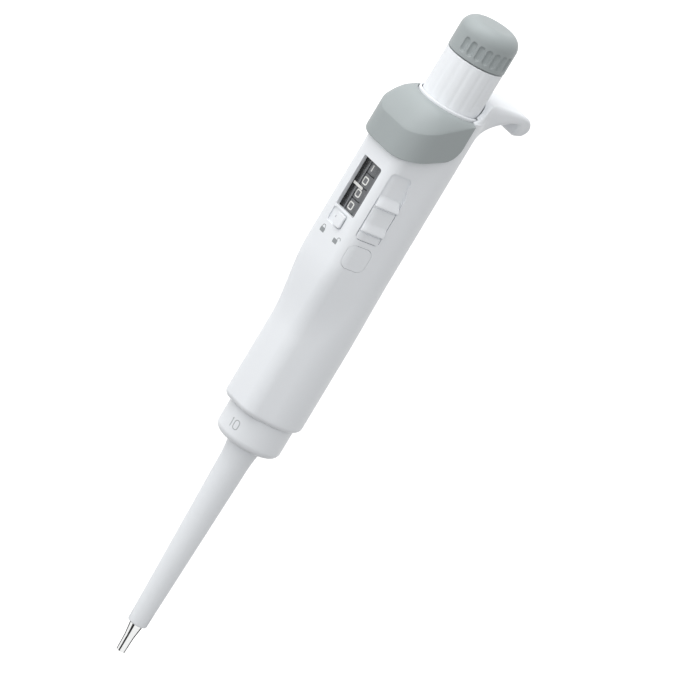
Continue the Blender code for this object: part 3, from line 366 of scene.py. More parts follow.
def turned(outline, segments=SEGMENTS, closed=True):
    """Spins an outline of (radius, height) points about the pipette's axis."""
    bm = bmesh.new()
    verts = [bm.verts.new((r, 0, z)) for r, z in outline]
    edges = [bm.edges.new(pair) for pair in zip(verts, verts[1:])]
    if closed:
        edges.append(bm.edges.new((verts[-1], verts[0])))
    bmesh.ops.spin(
        bm, geom=verts + edges, cent=(0, 0, 0), axis=(0, 0, 1), angle=TURN, steps=segments, use_merge=True
    )
    bmesh.ops.remove_doubles(bm, verts=bm.verts, dist=1e-7)
    bmesh.ops.recalc_face_normals(bm, faces=bm.faces)
    return bm


# %% Section and block helpers
def bridged(rings):
    """Bridges closed rings of points in turn, and closes both ends."""
    bm = bmesh.new()
    loops = []
    for ring in rings:
        verts = [bm.verts.new(point) for point in ring]
        loops.append([bm.edges.new((verts[i - 1], verts[i])) for i in range(len(verts))])
    for lower, upper in zip(loops, loops[1:]):
        bmesh.ops.bridge_loops(bm, edges=lower + upper)
    for end in (loops[0], loops[-1]):
        bmesh.ops.contextual_create(bm, geom=end)
    bmesh.ops.recalc_face_normals(bm, faces=bm.faces)
    return bm


def moved(bm, place):
    """Shifts a whole form."""
    bmesh.ops.translate(bm, vec=place, verts=bm.verts)
    return bm


def block(*spans):
    """A box from its spans along x, y and z."""
    bm = bmesh.new()
    bmesh.ops.create_cube(bm, size=1.0)
    low, high = (Vector(corner) for corner in zip(*spans))
    bmesh.ops.scale(bm, vec=high - low, verts=bm.verts)
    return moved(bm, low + (high - low) / 2)


def soften(bm, width, segments, wanted=None, sharper=0.6):
    """Rounds the edges sharper than an angle in radians that a test picks."""
    edges = [e for e in bm.edges if len(e.link_faces) == 2 and e.calc_face_angle(0) > sharper]
    if wanted is not None:
        edges = [e for e in edges if wanted(e)]
    settings = {"offset_type": "OFFSET", "profile": 0.5, "affect": "EDGES", "material": -1}
    bmesh.ops.bevel(bm, geom=edges, offset=width, segments=segments, clamp_overlap=True, **settings)
    return len(edges)


def extruded(bm, faces, shift):
    """Draws faces out into a prism."""
    grown = bmesh.ops.extrude_face_region(bm, geom=faces)["geom"]
    raised = [item for item in grown if isinstance(item, bmesh.types.BMVert)]
    bmesh.ops.translate(bm, vec=shift, verts=raised)
    return bm


# %% Cutting, joining and finishing
def in_scene(name, data):
    """An object of the scene, at the origin."""
    made = bpy.data.objects.new(name, data)
    bpy.context.scene.collection.objects.link(made)
    return made


def mesh_from(bm, name):
    """Turns a bmesh into a mesh and lets the bmesh go."""
    mesh = bpy.data.meshes.new(name)
    bm.to_mesh(mesh)
    bm.free()
    return mesh


def combined(bm, other, operation="DIFFERENCE"):
    """Cuts one closed shape from another, or joins the two, with a Boolean modifier."""
    made = []
    for part in (bm, other):
        bmesh.ops.recalc_face_normals(part, faces=part.faces)
        made.append(in_scene("in progress", mesh_from(part, "in progress")))
    modifier = made[0].modifiers.new("combine", "BOOLEAN")
    modifier.operation = operation
    modifier.object = made[1]
    modifier.solver = "EXACT"
    result = bmesh.new()
    result.from_object(made[0], bpy.context.evaluated_depsgraph_get())
    for item in made:
        mesh = item.data
        bpy.data.objects.remove(item, do_unlink=True)
        bpy.data.meshes.remove(mesh)
    return result


def finish_piece(bm, name, material, body, node=None, slot=None, sharp=35):
    """Makes a shape an object on a body: smooth, with its true edges kept crisp."""
    bmesh.ops.recalc_face_normals(bm, faces=bm.faces)
    mesh = mesh_from(bm, name)
    mesh.materials.append(material)
    mesh.shade_smooth()
    mesh.set_sharp_from_angle(angle=math.radians(sharp))
    made = in_scene(name, mesh)
    weighted = made.modifiers.new("flat faces stay flat", "WEIGHTED_NORMAL")
    weighted.keep_sharp = True
    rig.ride(made, body)
    if node:
        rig.replaces(made, node)
    if slot:
        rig.slot(made, slot)
    print(name, "-", len(mesh.polygons), "faces on", body)


# %% [markdown]
# ## The camera
# The photograph looks at the right front corner from a little above, through a long lens,
# and the pipette leans to the right in the frame. The model stands upright, so the camera
# rolls instead. It aims at a point half way up the pipette and beside its axis.

# %% Camera
AZIMUTH = math.radians(43.0)
ELEVATION = math.radians(14.5)
LEAN = math.radians(31.06)
DISTANCE = 3.5
LENS = 571.0
AIM_HEIGHT = 123.45 * MM
AIM_ASIDE = 13.24 * MM

level = math.cos(ELEVATION)
away = Vector((math.sin(AZIMUTH) * level, -math.cos(AZIMUTH) * level, math.sin(ELEVATION)))
upright = (Vector((0, 0, 1)) - away * away.z).normalized()
sideways = upright.cross(away)
camera_up = upright * math.cos(LEAN) - sideways * math.sin(LEAN)
camera_right = upright * math.sin(LEAN) + sideways * math.cos(LEAN)
aim = Vector((0, 0, AIM_HEIGHT)) + sideways * AIM_ASIDE
camera = in_scene("camera", bpy.data.cameras.new("camera"))
camera.data.lens = LENS
camera.data.clip_end = 10.0
turn = Matrix((camera_right, camera_up, away)).transposed()
camera.matrix_world = Matrix.Translation(aim + away * DISTANCE) @ turn.to_4x4()
bpy.context.scene.camera = camera
print("camera stands", round(DISTANCE, 2), "m away")

# %% [markdown]
# ## The handle's section
# Cut across, the handle is a round back and two small front corners with a belt pulled
# tight round them. Low down, where the hand closes on it, the corners are blunt and close
# together; above, at the counter, they are crisp and far apart, so the front is flat. One
# function gives that belt for any height.

# %% Handle section
GRIP_SHAPE = mm(13.2, 3.5, 14.0, 6.0)
SNOUT_SHAPE = mm(12.8, 5.97, 16.3, 4.4)
GRIP_TOP_Z = 121.0 * MM
SNOUT_Z = 149.0 * MM
HANDLE_Z = 91.5 * MM
HANDLE_TOP_Z = 208.5 * MM
WALL = 1.5 * MM
FIT = 0.3 * MM
BACK_STEPS = 72


def flank_angle(shape):
    """How far the flat flank turns from straight sideways towards the front."""
    back_r, corner_x, front, corner_r = shape
    centre = Vector((corner_x, front - corner_r))
    return math.atan2(centre.y, centre.x) - math.acos((back_r - corner_r) / centre.length)


def between(first, last, steps):
    """The points inside a straight run that is split into equal steps."""
    shares = [i / steps for i in range(1, steps)]
    return [tuple(a + (b - a) * s for a, b in zip(first, last)) for s in shares]


def front_run(shape, inset, side_steps):
    """From one flank's back end, round both front corners, to the other's."""
    back_r, corner_x, front, corner_r = shape
    flank = flank_angle(shape)
    y = corner_r - front
    radius = corner_r - inset
    left = arc((-corner_x, y), radius, math.pi + flank, 1.5 * math.pi, 2 * CORNER_STEPS)
    right = arc((corner_x, y), radius, 1.5 * math.pi, TURN - flank, 2 * CORNER_STEPS)
    reach = back_r - inset
    left_back = (-reach * math.cos(flank), -reach * math.sin(flank))
    right_back = (reach * math.cos(flank), -reach * math.sin(flank))
    run = between(left_back, left[0], side_steps) + left
    run += between(left[-1], right[0], side_steps)
    return run + right + between(right[-1], right_back, side_steps)


def handle_ring(z, inset=0.0):
    """The handle's section at a height, or the same section pulled in."""
    share = min(max((z - GRIP_TOP_Z) / (SNOUT_Z - GRIP_TOP_Z), 0.0), 1.0)
    share = eased(share)
    shape = tuple(a + (b - a) * share for a, b in zip(GRIP_SHAPE, SNOUT_SHAPE))
    flank = flank_angle(shape)
    back = arc((0, 0), shape[0] - inset, -flank, math.pi + flank, BACK_STEPS)
    return [(x, y, z) for x, y in back + front_run(shape, inset, 1)]


# %% [markdown]
# ## The finger hook
# The hook rests on the index finger, so the hand can relax. It is one moulding with the
# handle. A saddle rises from the collar's ends and turns into a flat arm that curls down at
# its lip. It is lofted from rounded sections. Between a few measured stations the sections
# run on a smooth curve, and the underside sweeps down into the wall by each point's distance
# from it.

# %% Finger hook
HOOK_TOP_Z = 214.3 * MM
HOOK_T = 3.3 * MM
HOOK_EDGE_R = 1.2 * MM
SWEEP = mm(18.0, 11.7)
FLARE_R = 10.0 * MM
FLARE_Y = 15.2 * MM
WALL_END_Y = 8.53 * MM
HALF_HOOK = 7.0 * MM
SADDLE_LEDGE = 0.02 * MM
SADDLE = [(1.5, 208.6), (2.6, 208.85), (4.0, 209.6), (5.5, 210.9), (7.0, 212.3), (8.5, 213.4)]
SADDLE += [(10.0, 214.05), (11.5, 214.3), (13.5, 214.3), (15.5, 214.3), (17.5, 214.3)]
HOOK_STATIONS = [
    (19.0, 214.3, 19.0, 211.0, 7.0),
    (22.0, 214.2, 21.8, 211.0, 7.0),
    (25.2, 214.0, 24.6, 211.0, 7.0),
    (28.2, 213.5, 25.8, 210.6, 6.85),
    (30.4, 212.4, 26.3, 209.8, 6.6),
    (31.8, 210.7, 26.5, 208.8, 6.3),
    (32.2, 208.9, 26.8, 207.9, 5.9),
    (31.4, 206.9, 27.3, 206.6, 5.1),
    (30.0, 205.9, 28.4, 205.8, 3.8),
]


def hook_half_width(y):
    """The back wall's own width, then a round flare in to the arm's seven millimetres."""
    if y >= FLARE_Y:
        return HALF_HOOK
    flare = HALF_HOOK + FLARE_R - math.sqrt(FLARE_R**2 - min(FLARE_Y - y, FLARE_R) ** 2)
    back_r = SNOUT_SHAPE[0] - SADDLE_LEDGE
    return min(flare, math.sqrt(back_r**2 - y**2)) if y < WALL_END_Y else flare


def on_curve(a, b, c, d, t):
    """A number on the Catmull-Rom curve, a share t of the way from b to c."""
    square = (2 * a - 5 * b + 4 * c - d) * t**2
    return 0.5 * (2 * b + (c - a) * t + square + (3 * b - a - 3 * c + d) * t**3)


def smooth_run(stations, steps):
    """A curve through every station, with extra stations between."""
    run = []
    padded = [stations[0], *stations, stations[-1]]
    for four in zip(padded, padded[1:], padded[2:], padded[3:]):
        for step in range(steps):
            run.append(tuple(on_curve(*row, step / steps) for row in zip(*four)))
    return run + [stations[-1]]


def hook_section(station):
    """A rounded rectangle whose lower side is swept down where it nears the back wall."""
    top_y, top_z, under_y, under_z, half_width = station
    top = Vector((0, top_y, top_z))
    under = Vector((0, under_y, under_z))
    up = (top - under).normalized()
    half_height = (top - under).length / 2
    radius = min(HOOK_EDGE_R, 0.9 * half_height)
    ring = []
    for side, level, start in ((1, 1, 0.0), (-1, 1, 0.5), (-1, -1, 1.0), (1, -1, 1.5)):
        at = (side * (half_width - radius), level * (half_height - radius))
        for x, h in arc(at, radius, start * math.pi, (start + 0.5) * math.pi, CORNER_STEPS):
            point = (top + under) / 2 + Vector((x, 0, 0)) + up * h
            out = min(max(math.hypot(point.x, point.y) - SNOUT_SHAPE[0], 0.0), SWEEP[0])
            sweep = SWEEP[1] * (1 - math.sqrt(1 - (1 - out / SWEEP[0]) ** 2))
            point.z -= sweep * (half_height - h) / (2 * half_height)
            ring.append(point)
    return ring


def hook_form():
    """The saddle, the arm and the lip as one form."""
    saddle = smooth_run([mm(*row) for row in SADDLE], 4)
    stations = [(y, z, y, z - HOOK_T, hook_half_width(y)) for y, z in saddle]
    stations += smooth_run([mm(*row) for row in HOOK_STATIONS], 5)
    return bridged([hook_section(station) for station in stations])


# %% [markdown]
# ## The handle
# The housing starts as bridged sections: a rounded lower rim, the change from grip to flat
# front, and a plain top. The hook is joined on, then the inside is cut away: a wide bore for
# the guide ring, and a narrower one above it for the button. Last come the window, the lock's
# track and the two pockets on the flank. The rims of those pockets are bevelled, because a
# moulded rim always catches a thin line of light.

# %% Handle outer form
HANDLE_EDGE_R = 2.0 * MM
BUTTON_R = 10.0 * MM
GUIDE_Z = mm(199.9, 209.3)


def edge_insets(radius, steps):
    """(distance from the end, inset) pairs down a rounded end edge, the end first."""
    angles = [0.5 * math.pi * i / steps for i in range(steps + 1)]
    return [(radius * (1 - math.sin(a)), radius * (1 - math.cos(a))) for a in reversed(angles)]


BLEND_STEPS = 24
blend_heights = [GRIP_TOP_Z + (SNOUT_Z - GRIP_TOP_Z) * i / BLEND_STEPS for i in range(BLEND_STEPS + 1)]
rings = [handle_ring(HANDLE_Z + up, inset) for up, inset in edge_insets(HANDLE_EDGE_R, 8)]
rings += [handle_ring(z) for z in [*blend_heights, HANDLE_TOP_Z]]
handle_bm = bridged(rings)
handle_bm = combined(handle_bm, hook_form(), "UNION")
past = 5 * MM
bore_top = GUIDE_Z[1] + FIT
heights = [HANDLE_Z - past] + blend_heights + [bore_top]
handle_bm = combined(handle_bm, bridged([handle_ring(z, WALL) for z in heights]))
bore = tube(0, BUTTON_R + FIT, bore_top - past, HOOK_TOP_Z + past)
handle_bm = combined(handle_bm, turned(bore, SEGMENTS, closed=False))
print("handle with hook and bore:", len(handle_bm.faces), "faces")

# %% Handle openings
FRONT = -SNOUT_SHAPE[2]
COLLAR_SEAT_Z = 199.5 * MM
WINDOW_X = mm(-4.4, 5.3)
WINDOW_Z = mm(164.3, 182.5)
LOCK_Z = 160.9 * MM
LOCK_TRACK_X = mm(-4.4, 3.1)
LOCK_TRACK_H = 5.2 * MM
LOCK_DEPTH = 0.5 * MM
LOCK_NECK = mm(1.2, 0.45)
LOCK_PLAY = 0.06 * MM
LOCK_W = 3.6 * MM
LOCK_TRAVEL = 3.3 * MM
lock_middle = LOCK_TRACK_X[1] - FIT - LOCK_W / 2
neck_x = lock_middle + 0.8 * MM

wide = 30 * MM
seat_top = block((-wide, wide), (-wide, 2 * MM), (COLLAR_SEAT_Z, HOOK_TOP_Z + past))
opening = block(WINDOW_X, around(FRONT, past), WINDOW_Z)


def runs_deep(edge):
    """True for an edge that runs straight back through the front wall."""
    return abs(edge.verts[0].co.y - edge.verts[1].co.y) > 0.2 * MM


def at_top_right(edge):
    """True for the edge in the window's upper right corner."""
    at = edge.verts[0].co
    return runs_deep(edge) and at.x > 0 and at.z > WINDOW_Z[1] - MM


soften(opening, 0.8 * MM, 5, at_top_right)
soften(opening, 0.25 * MM, 3, lambda e: runs_deep(e) and abs(e.calc_face_angle(0) - math.pi / 2) < 0.1)
track = block(LOCK_TRACK_X, (FRONT - past, FRONT + LOCK_DEPTH), around(LOCK_Z, LOCK_TRACK_H / 2))
soften(track, 0.7 * MM, 4, runs_deep)
reach = LOCK_NECK[0] / 2 + LOCK_PLAY
slot_x = (neck_x - LOCK_TRAVEL - reach, neck_x + reach)
neck_slot = block(slot_x, (FRONT, FRONT + past), around(LOCK_Z, LOCK_NECK[1] / 2 + LOCK_PLAY))
for cutter in (seat_top, opening, track, neck_slot):
    handle_bm = combined(handle_bm, cutter)
print("window and lock track cut:", len(handle_bm.faces), "faces")

# %% [markdown]
# ## The flank's own frame
# The adjustment slide and the tag cover sit on the flat flank, which is turned from straight
# sideways. It is easiest to draw them in a frame of their own, with +X out of the flank and
# +Y to the back, and to turn the form into place. Their front edges run on to the rounded
# corner, so whatever must follow the surface is cut with the handle's own section, pulled in
# or pushed out.

# %% Flank pockets and handle rims
TRACK_W = 8.9 * MM
TRACK_Z = mm(159.7, 184.1)
TRACK_BEND_Z = mm(176.2, 182.2)
BEND_STEPS = 16
TRACK_STEP = 1.3 * MM
TRACK_DEPTH = 0.8 * MM
TRACK_SHIFT = 1.91 * MM
RIM_R = 0.22 * MM
TAG_Z = mm(149.4, 157.8)
TAG_DEPTH = 0.7 * MM
TAG_CORNER_R = 2.5 * MM

flank = flank_angle(SNOUT_SHAPE)
flank_out = Vector((math.cos(flank), -math.sin(flank), 0))
flank_along = Vector((math.sin(flank), math.cos(flank), 0))
corner = Vector((SNOUT_SHAPE[1], SNOUT_SHAPE[3] - SNOUT_SHAPE[2], 0))
flank_middle = corner + flank_out * SNOUT_SHAPE[3] + flank_along * TRACK_SHIFT
flank_frame = Matrix.Translation(flank_middle) @ Matrix.Rotation(-flank, 4, "Z")


def on_flank(bm):
    """Moves a form from the flank's own frame to its place on the handle."""
    bmesh.ops.transform(bm, matrix=flank_frame, verts=bm.verts)
    return bm


def flank_prism(outline, depth, height):
    """An outline of (along, up) points, extruded out of the flank from a depth."""
    bm = bmesh.new()
    face = bm.faces.new([bm.verts.new((depth, y, z)) for y, z in outline])
    extruded(bm, [face], (height - depth, 0, 0))
    bmesh.ops.recalc_face_normals(bm, faces=bm.faces)
    return bm


def sunk(inset):
    """The handle's section, pulled in by a depth, over the height of the pockets."""
    return bridged([handle_ring(z, inset) for z in (SNOUT_Z, HANDLE_TOP_Z)])


def across_flank(edge):
    """True for an edge that runs straight out of the flank, in its own frame."""
    return abs(edge.verts[0].co.x - edge.verts[1].co.x) > MM


def track_outline(low, high, drop, gap):
    """The adjustment track: its rear side bends in softly towards the top."""
    side = TRACK_W / 2 - gap
    outline = [(-side, high), (-side, low), (side, low)]
    for step in range(BEND_STEPS + 1):
        z = TRACK_BEND_Z[0] - drop + (TRACK_BEND_Z[1] - TRACK_BEND_Z[0]) * step / BEND_STEPS
        if z < high:
            outline.append((side - TRACK_STEP * eased(step / BEND_STEPS), z))
    return outline + [(outline[-1][0], high)]


half = TRACK_W / 2
pocket = flank_prism(track_outline(*TRACK_Z, 0.0, 0.0), -past, past)
soften(pocket, 1.4 * MM, 6, across_flank)
pocket = combined(on_flank(pocket), sunk(TRACK_DEPTH))
tag_pocket = block((-past, past), (-half, half), TAG_Z)
soften(tag_pocket, TAG_CORNER_R, 8, across_flank)
tag_pocket = combined(on_flank(tag_pocket), sunk(TAG_DEPTH + FIT))
PEG_W = 1.8 * MM
PEG_Z = mm(166.0, 172.0)
ADJUST_TRAVEL = 3.5 * MM
peg_slot_z = (PEG_Z[0] - FIT, PEG_Z[1] + ADJUST_TRAVEL + FIT)
peg_slot = on_flank(block((-past, past), around(0, PEG_W / 2 + FIT), peg_slot_z))
for cutter in (pocket, tag_pocket, peg_slot):
    handle_bm = combined(handle_bm, cutter)


def off_flank(point):
    """How far a point stands off the flank, or off the corner that the flank runs into."""
    along = (point - corner).dot(flank_along)
    out = (point - corner).dot(flank_out)
    return (math.hypot(out, along) if along < 0 else out) - SNOUT_SHAPE[3]


def on_rim(edge):
    """True for a pocket's rim on the flat front or on the flank."""
    low, high = sorted(v.co.z for v in edge.verts)
    if low < TRACK_Z[0] - 1.6 * MM or high > TRACK_Z[1] + MM:
        return False
    on_front = all(abs(v.co.y - FRONT) < 0.01 * MM for v in edge.verts)
    return on_front or all(abs(off_flank(v.co)) < 0.02 * MM for v in edge.verts)


print("rounded", soften(handle_bm, RIM_R, 3, on_rim), "rim edges")
finish_piece(handle_bm, "handle_shell", white_shell, "handle", "handle_housing", "shell_white", 40)

# %% [markdown]
# ## The collar
# A grey hood clips over the handle's top from the front. It follows the handle's section
# a little outside it, and its top edge falls from the ends towards the front, so the roof
# slopes down like a visor. It is lofted sideways: each section is the wall with its roof,
# and the sections walk round the front from one end to the other.

# %% Collar
COLLAR_SHAPE = mm(13.8, 4.9, 18.3, 9.0)
COLLAR_TOP_Z = 208.4 * MM
COLLAR_CREASE_Z = 198.3 * MM
COLLAR_CREASE_RISE = 9.7 * MM
COLLAR_FRONT_Z = 188.8 * MM
COLLAR_BACK_Z = 195.1 * MM
COLLAR_CORNER_R = 4.5 * MM
COLLAR_END = math.radians(7.0)
COLLAR_STEPS = 16
DOME_STEPS = 12
GUIDE_R = SNOUT_SHAPE[0] - WALL - FIT


def collar_section(outer, inner, rim):
    """The wall outside the handle, its rounded crease, and the roof over the handle's edge."""
    front = COLLAR_SHAPE[2]
    back = COLLAR_SHAPE[0] * math.sin(COLLAR_END)
    share = (outer[1] + front) / (front + back)
    crease = COLLAR_CREASE_Z + COLLAR_CREASE_RISE * share**0.88
    bottom = COLLAR_FRONT_Z + (COLLAR_BACK_Z - COLLAR_FRONT_Z) * share**0.95
    from_end = back - outer[1]
    if from_end < COLLAR_CORNER_R:
        drop = COLLAR_CORNER_R - from_end
        bottom += COLLAR_CORNER_R - math.sqrt(max(COLLAR_CORNER_R**2 - drop**2, 0.0))
    dome = []
    for i in range(DOME_STEPS + 1):
        way = 1 - i / DOME_STEPS
        x, y = (r + (o - r) * way for o, r in zip(outer, rim))
        dome.append((x, y, crease + (COLLAR_TOP_Z - crease) * (1 - way**2.2)))
    edge = 0.25 * MM
    face = Vector(outer)
    inwards = (Vector(inner) - face).normalized() * edge
    low = [(*(face + inwards), bottom), (*(face + inwards * 0.3), bottom + edge * 0.3)]
    seat = COLLAR_SEAT_Z + FIT
    wall = [(*outer, bottom + edge), (*outer, crease - 0.4 * MM)]
    return [*low, *wall, *dome, (*rim, seat), (*inner, seat), (*inner, bottom)]


def collar_path(shape, inset):
    """Round the front, from the left end to the right end."""
    angle = flank_angle(shape)
    reach = shape[0] - inset
    left = arc((0, 0), reach, math.pi - COLLAR_END, math.pi + angle, COLLAR_STEPS)
    right = arc((0, 0), reach, TURN - angle, TURN + COLLAR_END, COLLAR_STEPS)
    return left + front_run(shape, inset, COLLAR_STEPS) + right


outer = collar_path(COLLAR_SHAPE, 0.0)
inner = collar_path(SNOUT_SHAPE, -FIT)
rims = [tuple((GUIDE_R + FIT) * c for c in Vector(point).normalized()) for point in inner]
collar_bm = bridged([collar_section(*points) for points in zip(outer, inner, rims)])
finish_piece(collar_bm, "collar_hood", grey_trim, "handle", "collar", "collar_grey", 52)

# %% [markdown]
# ## Guide ring and button
# The button is a white fluted sleeve with a grey cap. It slides through a plain white ring.
# Sixteen faint flutes on the sleeve give the fingers hold, and they are pressed into a
# finely spun wall by moving its points inwards. The cap's two groups of short grooves are
# round-ended dimples, and they are pressed in the same way.

# %% Guide ring
ring_outline = softened(
    [
        (BUTTON_R + FIT, GUIDE_Z[0], 0),
        (GUIDE_R, GUIDE_Z[0], 0),
        (GUIDE_R, GUIDE_Z[1], 0.35 * MM),
        (BUTTON_R + FIT, GUIDE_Z[1], 0.2 * MM),
    ]
)
finish_piece(turned(ring_outline), "guide_ring_fine", white_shell, "handle", "guide_ring", "shell_white")

# %% Button sleeve
def pressed(vert, depth):
    """Moves a point straight towards the pipette's axis."""
    reach = math.hypot(vert.co.x, vert.co.y)
    vert.co.x *= 1 - depth / reach
    vert.co.y *= 1 - depth / reach


CAP_Z = 225.2 * MM
CAP_SOCKET = 4.0 * MM
BUTTON_CEILING = 2.9 * MM
STUD_R = 4.0 * MM
BUTTON_Z = 206.5 * MM
STOP_Z = 214.0 * MM
STOP_R = mm(2.6, 3.8)
SLEEVE_FLUTES = 16
SLEEVE_FLUTE_DEPTH = 0.14 * MM
top = CAP_Z - FIT
ceiling = top - BUTTON_CEILING
inside = BUTTON_R - 1.5 * MM
sleeve_outline = softened(
    [
        (STOP_R[0], STOP_Z, 0.2 * MM),
        (STOP_R[1], STOP_Z, 0.2 * MM),
        (STOP_R[1], ceiling, 0),
        (inside, ceiling, 0),
        (inside, BUTTON_Z, 0.2 * MM),
        (BUTTON_R, BUTTON_Z, 0.3 * MM),
        (BUTTON_R, top, 0.2 * MM),
        (STUD_R, top, 0),
        (STUD_R, CAP_Z + CAP_SOCKET, 0.2 * MM),
        (0, CAP_Z + CAP_SOCKET, 0),
        (0, ceiling, 0),
        (STOP_R[0], ceiling, 0),
    ]
)
sleeve_bm = turned(sleeve_outline, 256)
for vert in sleeve_bm.verts:
    reach = math.hypot(vert.co.x, vert.co.y)
    if reach > BUTTON_R - 0.5 * MM:
        wave = 0.5 + 0.5 * math.cos(SLEEVE_FLUTES * math.atan2(vert.co.x, -vert.co.y))
        pressed(vert, SLEEVE_FLUTE_DEPTH * wave**3)
finish_piece(sleeve_bm, "button_sleeve_fluted", white_shell, "button", "button_sleeve", "shell_white")

# %% Button cap
CAP_TOP_Z = 237.5 * MM
CAP_R = 10.05 * MM
CAP_EDGE_R = 4.6 * MM
DIMPLE_R = 1.0 * MM
DIMPLE_DEPTH = 0.75 * MM
DIMPLE_Z = mm(226.6, 231.8)
DIMPLE_COUNT = 7
DIMPLE_PITCH = math.radians(16.4)
DIMPLE_FIRST = math.radians(11.5)
cap_outline = [(0, CAP_Z + CAP_SOCKET + FIT), (STUD_R + FIT, CAP_Z + CAP_SOCKET + FIT), (STUD_R + FIT, CAP_Z)]
cap_outline += arc((CAP_R - FIT, CAP_Z + FIT), FIT, -math.pi / 2, 0, 4)
rows = 42
wall_top = CAP_TOP_Z - CAP_EDGE_R
cap_outline += [(CAP_R, CAP_Z + FIT + (wall_top - CAP_Z - FIT) * i / rows) for i in range(1, rows)]
cap_outline += arc((CAP_R - CAP_EDGE_R, wall_top), CAP_EDGE_R, 0, math.pi / 2, 24) + [(0, CAP_TOP_Z)]
cap_bm = turned(cap_outline, 384, closed=False)
dimples = [DIMPLE_FIRST + DIMPLE_PITCH * i + math.pi * side for side in range(2) for i in range(DIMPLE_COUNT)]
middle = sum(DIMPLE_Z) / 2
straight = (DIMPLE_Z[1] - DIMPLE_Z[0]) / 2 - DIMPLE_R
for vert in cap_bm.verts:
    reach = math.hypot(vert.co.x, vert.co.y)
    if reach < CAP_R - 2 * MM or not DIMPLE_Z[0] < vert.co.z < DIMPLE_Z[1]:
        continue
    here = math.atan2(vert.co.x, -vert.co.y)
    aside = min(abs(math.remainder(here - angle, TURN)) for angle in dimples) * reach
    away_from = math.hypot(aside, max(abs(vert.co.z - middle) - straight, 0.0)) / DIMPLE_R
    if away_from < 1:
        pressed(vert, DIMPLE_DEPTH * math.sqrt(1 - away_from**2))
finish_piece(cap_bm, "button_cap_fluted", grey_trim, "button", "button_cap", "collar_grey", 50)

# %% [markdown]
# ## Ejector sleeve and nozzle
# The sleeve is one turned outline: a long taper, a soft cove, and a wide ring that the
# handle's skirt covers. The steel nozzle comes out of it at the bottom. Its outline narrows
# in two cones, so a plastic tip wedges on, and it is hollow for the air.

# %% Ejector sleeve
SLEEVE_Z = 10.5 * MM
SLEEVE_END_R = 3.35 * MM
SLEEVE_EDGE_R = 0.6 * MM
SLEEVE_BORE_R = 2.5 * MM
SLEEVE_TOP_R = 5.0 * MM
SLEEVE_TAPER_Z = 70.0 * MM
SLEEVE_COVE = 0.9 * MM
COVE_STEPS = 8
WIDE_BORE_R = 3.5 * MM
WIDE_BORE_Z = 54.0 * MM
RING_Z = 80.0 * MM
RING_R = 11.3 * MM
RING_EDGE_R = 2.7 * MM
RING_TOP_Z = 99.0 * MM
ring_floor = RING_Z + 2.0 * MM
ring_bore = RING_R - 1.5 * MM
sleeve = [(SLEEVE_BORE_R, SLEEVE_Z)]
sleeve += arc((SLEEVE_END_R - SLEEVE_EDGE_R, SLEEVE_Z + SLEEVE_EDGE_R), SLEEVE_EDGE_R, -math.pi / 2, 0, 8)
sleeve += [(SLEEVE_TOP_R, SLEEVE_TAPER_Z)]
for step in range(1, COVE_STEPS + 1):
    share = step / COVE_STEPS
    sleeve.append((SLEEVE_TOP_R + SLEEVE_COVE * share**2, SLEEVE_TAPER_Z + (RING_Z - SLEEVE_TAPER_Z) * share))
sleeve += arc((RING_R - RING_EDGE_R, RING_Z + RING_EDGE_R), RING_EDGE_R, -math.pi / 2, 0, 14)
sleeve += [(RING_R, RING_TOP_Z), (ring_bore, RING_TOP_Z), (ring_bore, ring_floor)]
sleeve += [(WIDE_BORE_R, ring_floor), (WIDE_BORE_R, WIDE_BORE_Z), (SLEEVE_BORE_R, WIDE_BORE_Z - MM)]
finish_piece(turned(sleeve), "ejector_sleeve_fine", white_shell, "ejector", "ejector_sleeve", "shell_white")

# %% Steel nozzle
CONE = [(0.5, 0), (1.5, 0), (1.65, 5.5), (2.2, 9.8), (2.2, 60.0), (3.2, 62.0), (3.2, 85.3), (4.5, 85.3)]
CONE += [(4.5, 87.3), (2.2, 87.3), (2.2, 81.3), (0.8, 81.3), (0.8, 47.0), (0.5, 46.0)]
SOFT_EDGES = {1: 0.12, 2: 2.5, 3: 0.8}
cone_outline = [(r * MM, z * MM, SOFT_EDGES.get(i, 0) * MM) for i, (r, z) in enumerate(CONE)]
finish_piece(turned(softened(cone_outline)), "nozzle_fine", polished_steel, "nozzle", "tip_cone", "steel")

# %% [markdown]
# ## Printed numerals
# The counter's digits are squarish, and each is a line of even width with round corners. A
# digit is drawn as such a line on a grid, and to lie on a drum or a ring it is sliced into
# narrow strips, so that it can bend, and each point is then wrapped round the axis. The ink
# stands only a few hundredths of a millimetre proud.

# %% Numeral helper
INK = 0.04 * MM
STRIP = 0.3 * MM
BOX = [(-1, -1), (1, -1), (1, 1), (-1, 1)]
DIGIT_LINES = {
    "0": [BOX],
    "1": [[(-0.35, 0.7), (0, 1), (0, -1)]],
    "2": [[(-1, 1), (1, 1), (1, 0), (-1, 0), (-1, -1), (1, -1)]],
    "3": [[(-1, 1), (1, 1), (1, -1), (-1, -1)], [(-0.5, 0), (1, 0)]],
    "4": [[(-1, 1), (-1, -0.2), (1, -0.2)], [(0.5, 1), (0.5, -1)]],
    "5": [[(1, 1), (-1, 1), (-1, 0), (1, 0), (1, -1), (-1, -1)]],
    "6": [[(1, 1), (-1, 1), (-1, -1), (1, -1), (1, 0), (-1, 0)]],
    "7": [[(-1, 1), (1, 1), (-0.1, -1)]],
    "8": [BOX, [(-1, 0), (1, 0)]],
    "9": [[(-1, -1), (1, -1), (1, 1), (-1, 1), (-1, 0), (1, 0)]],
}


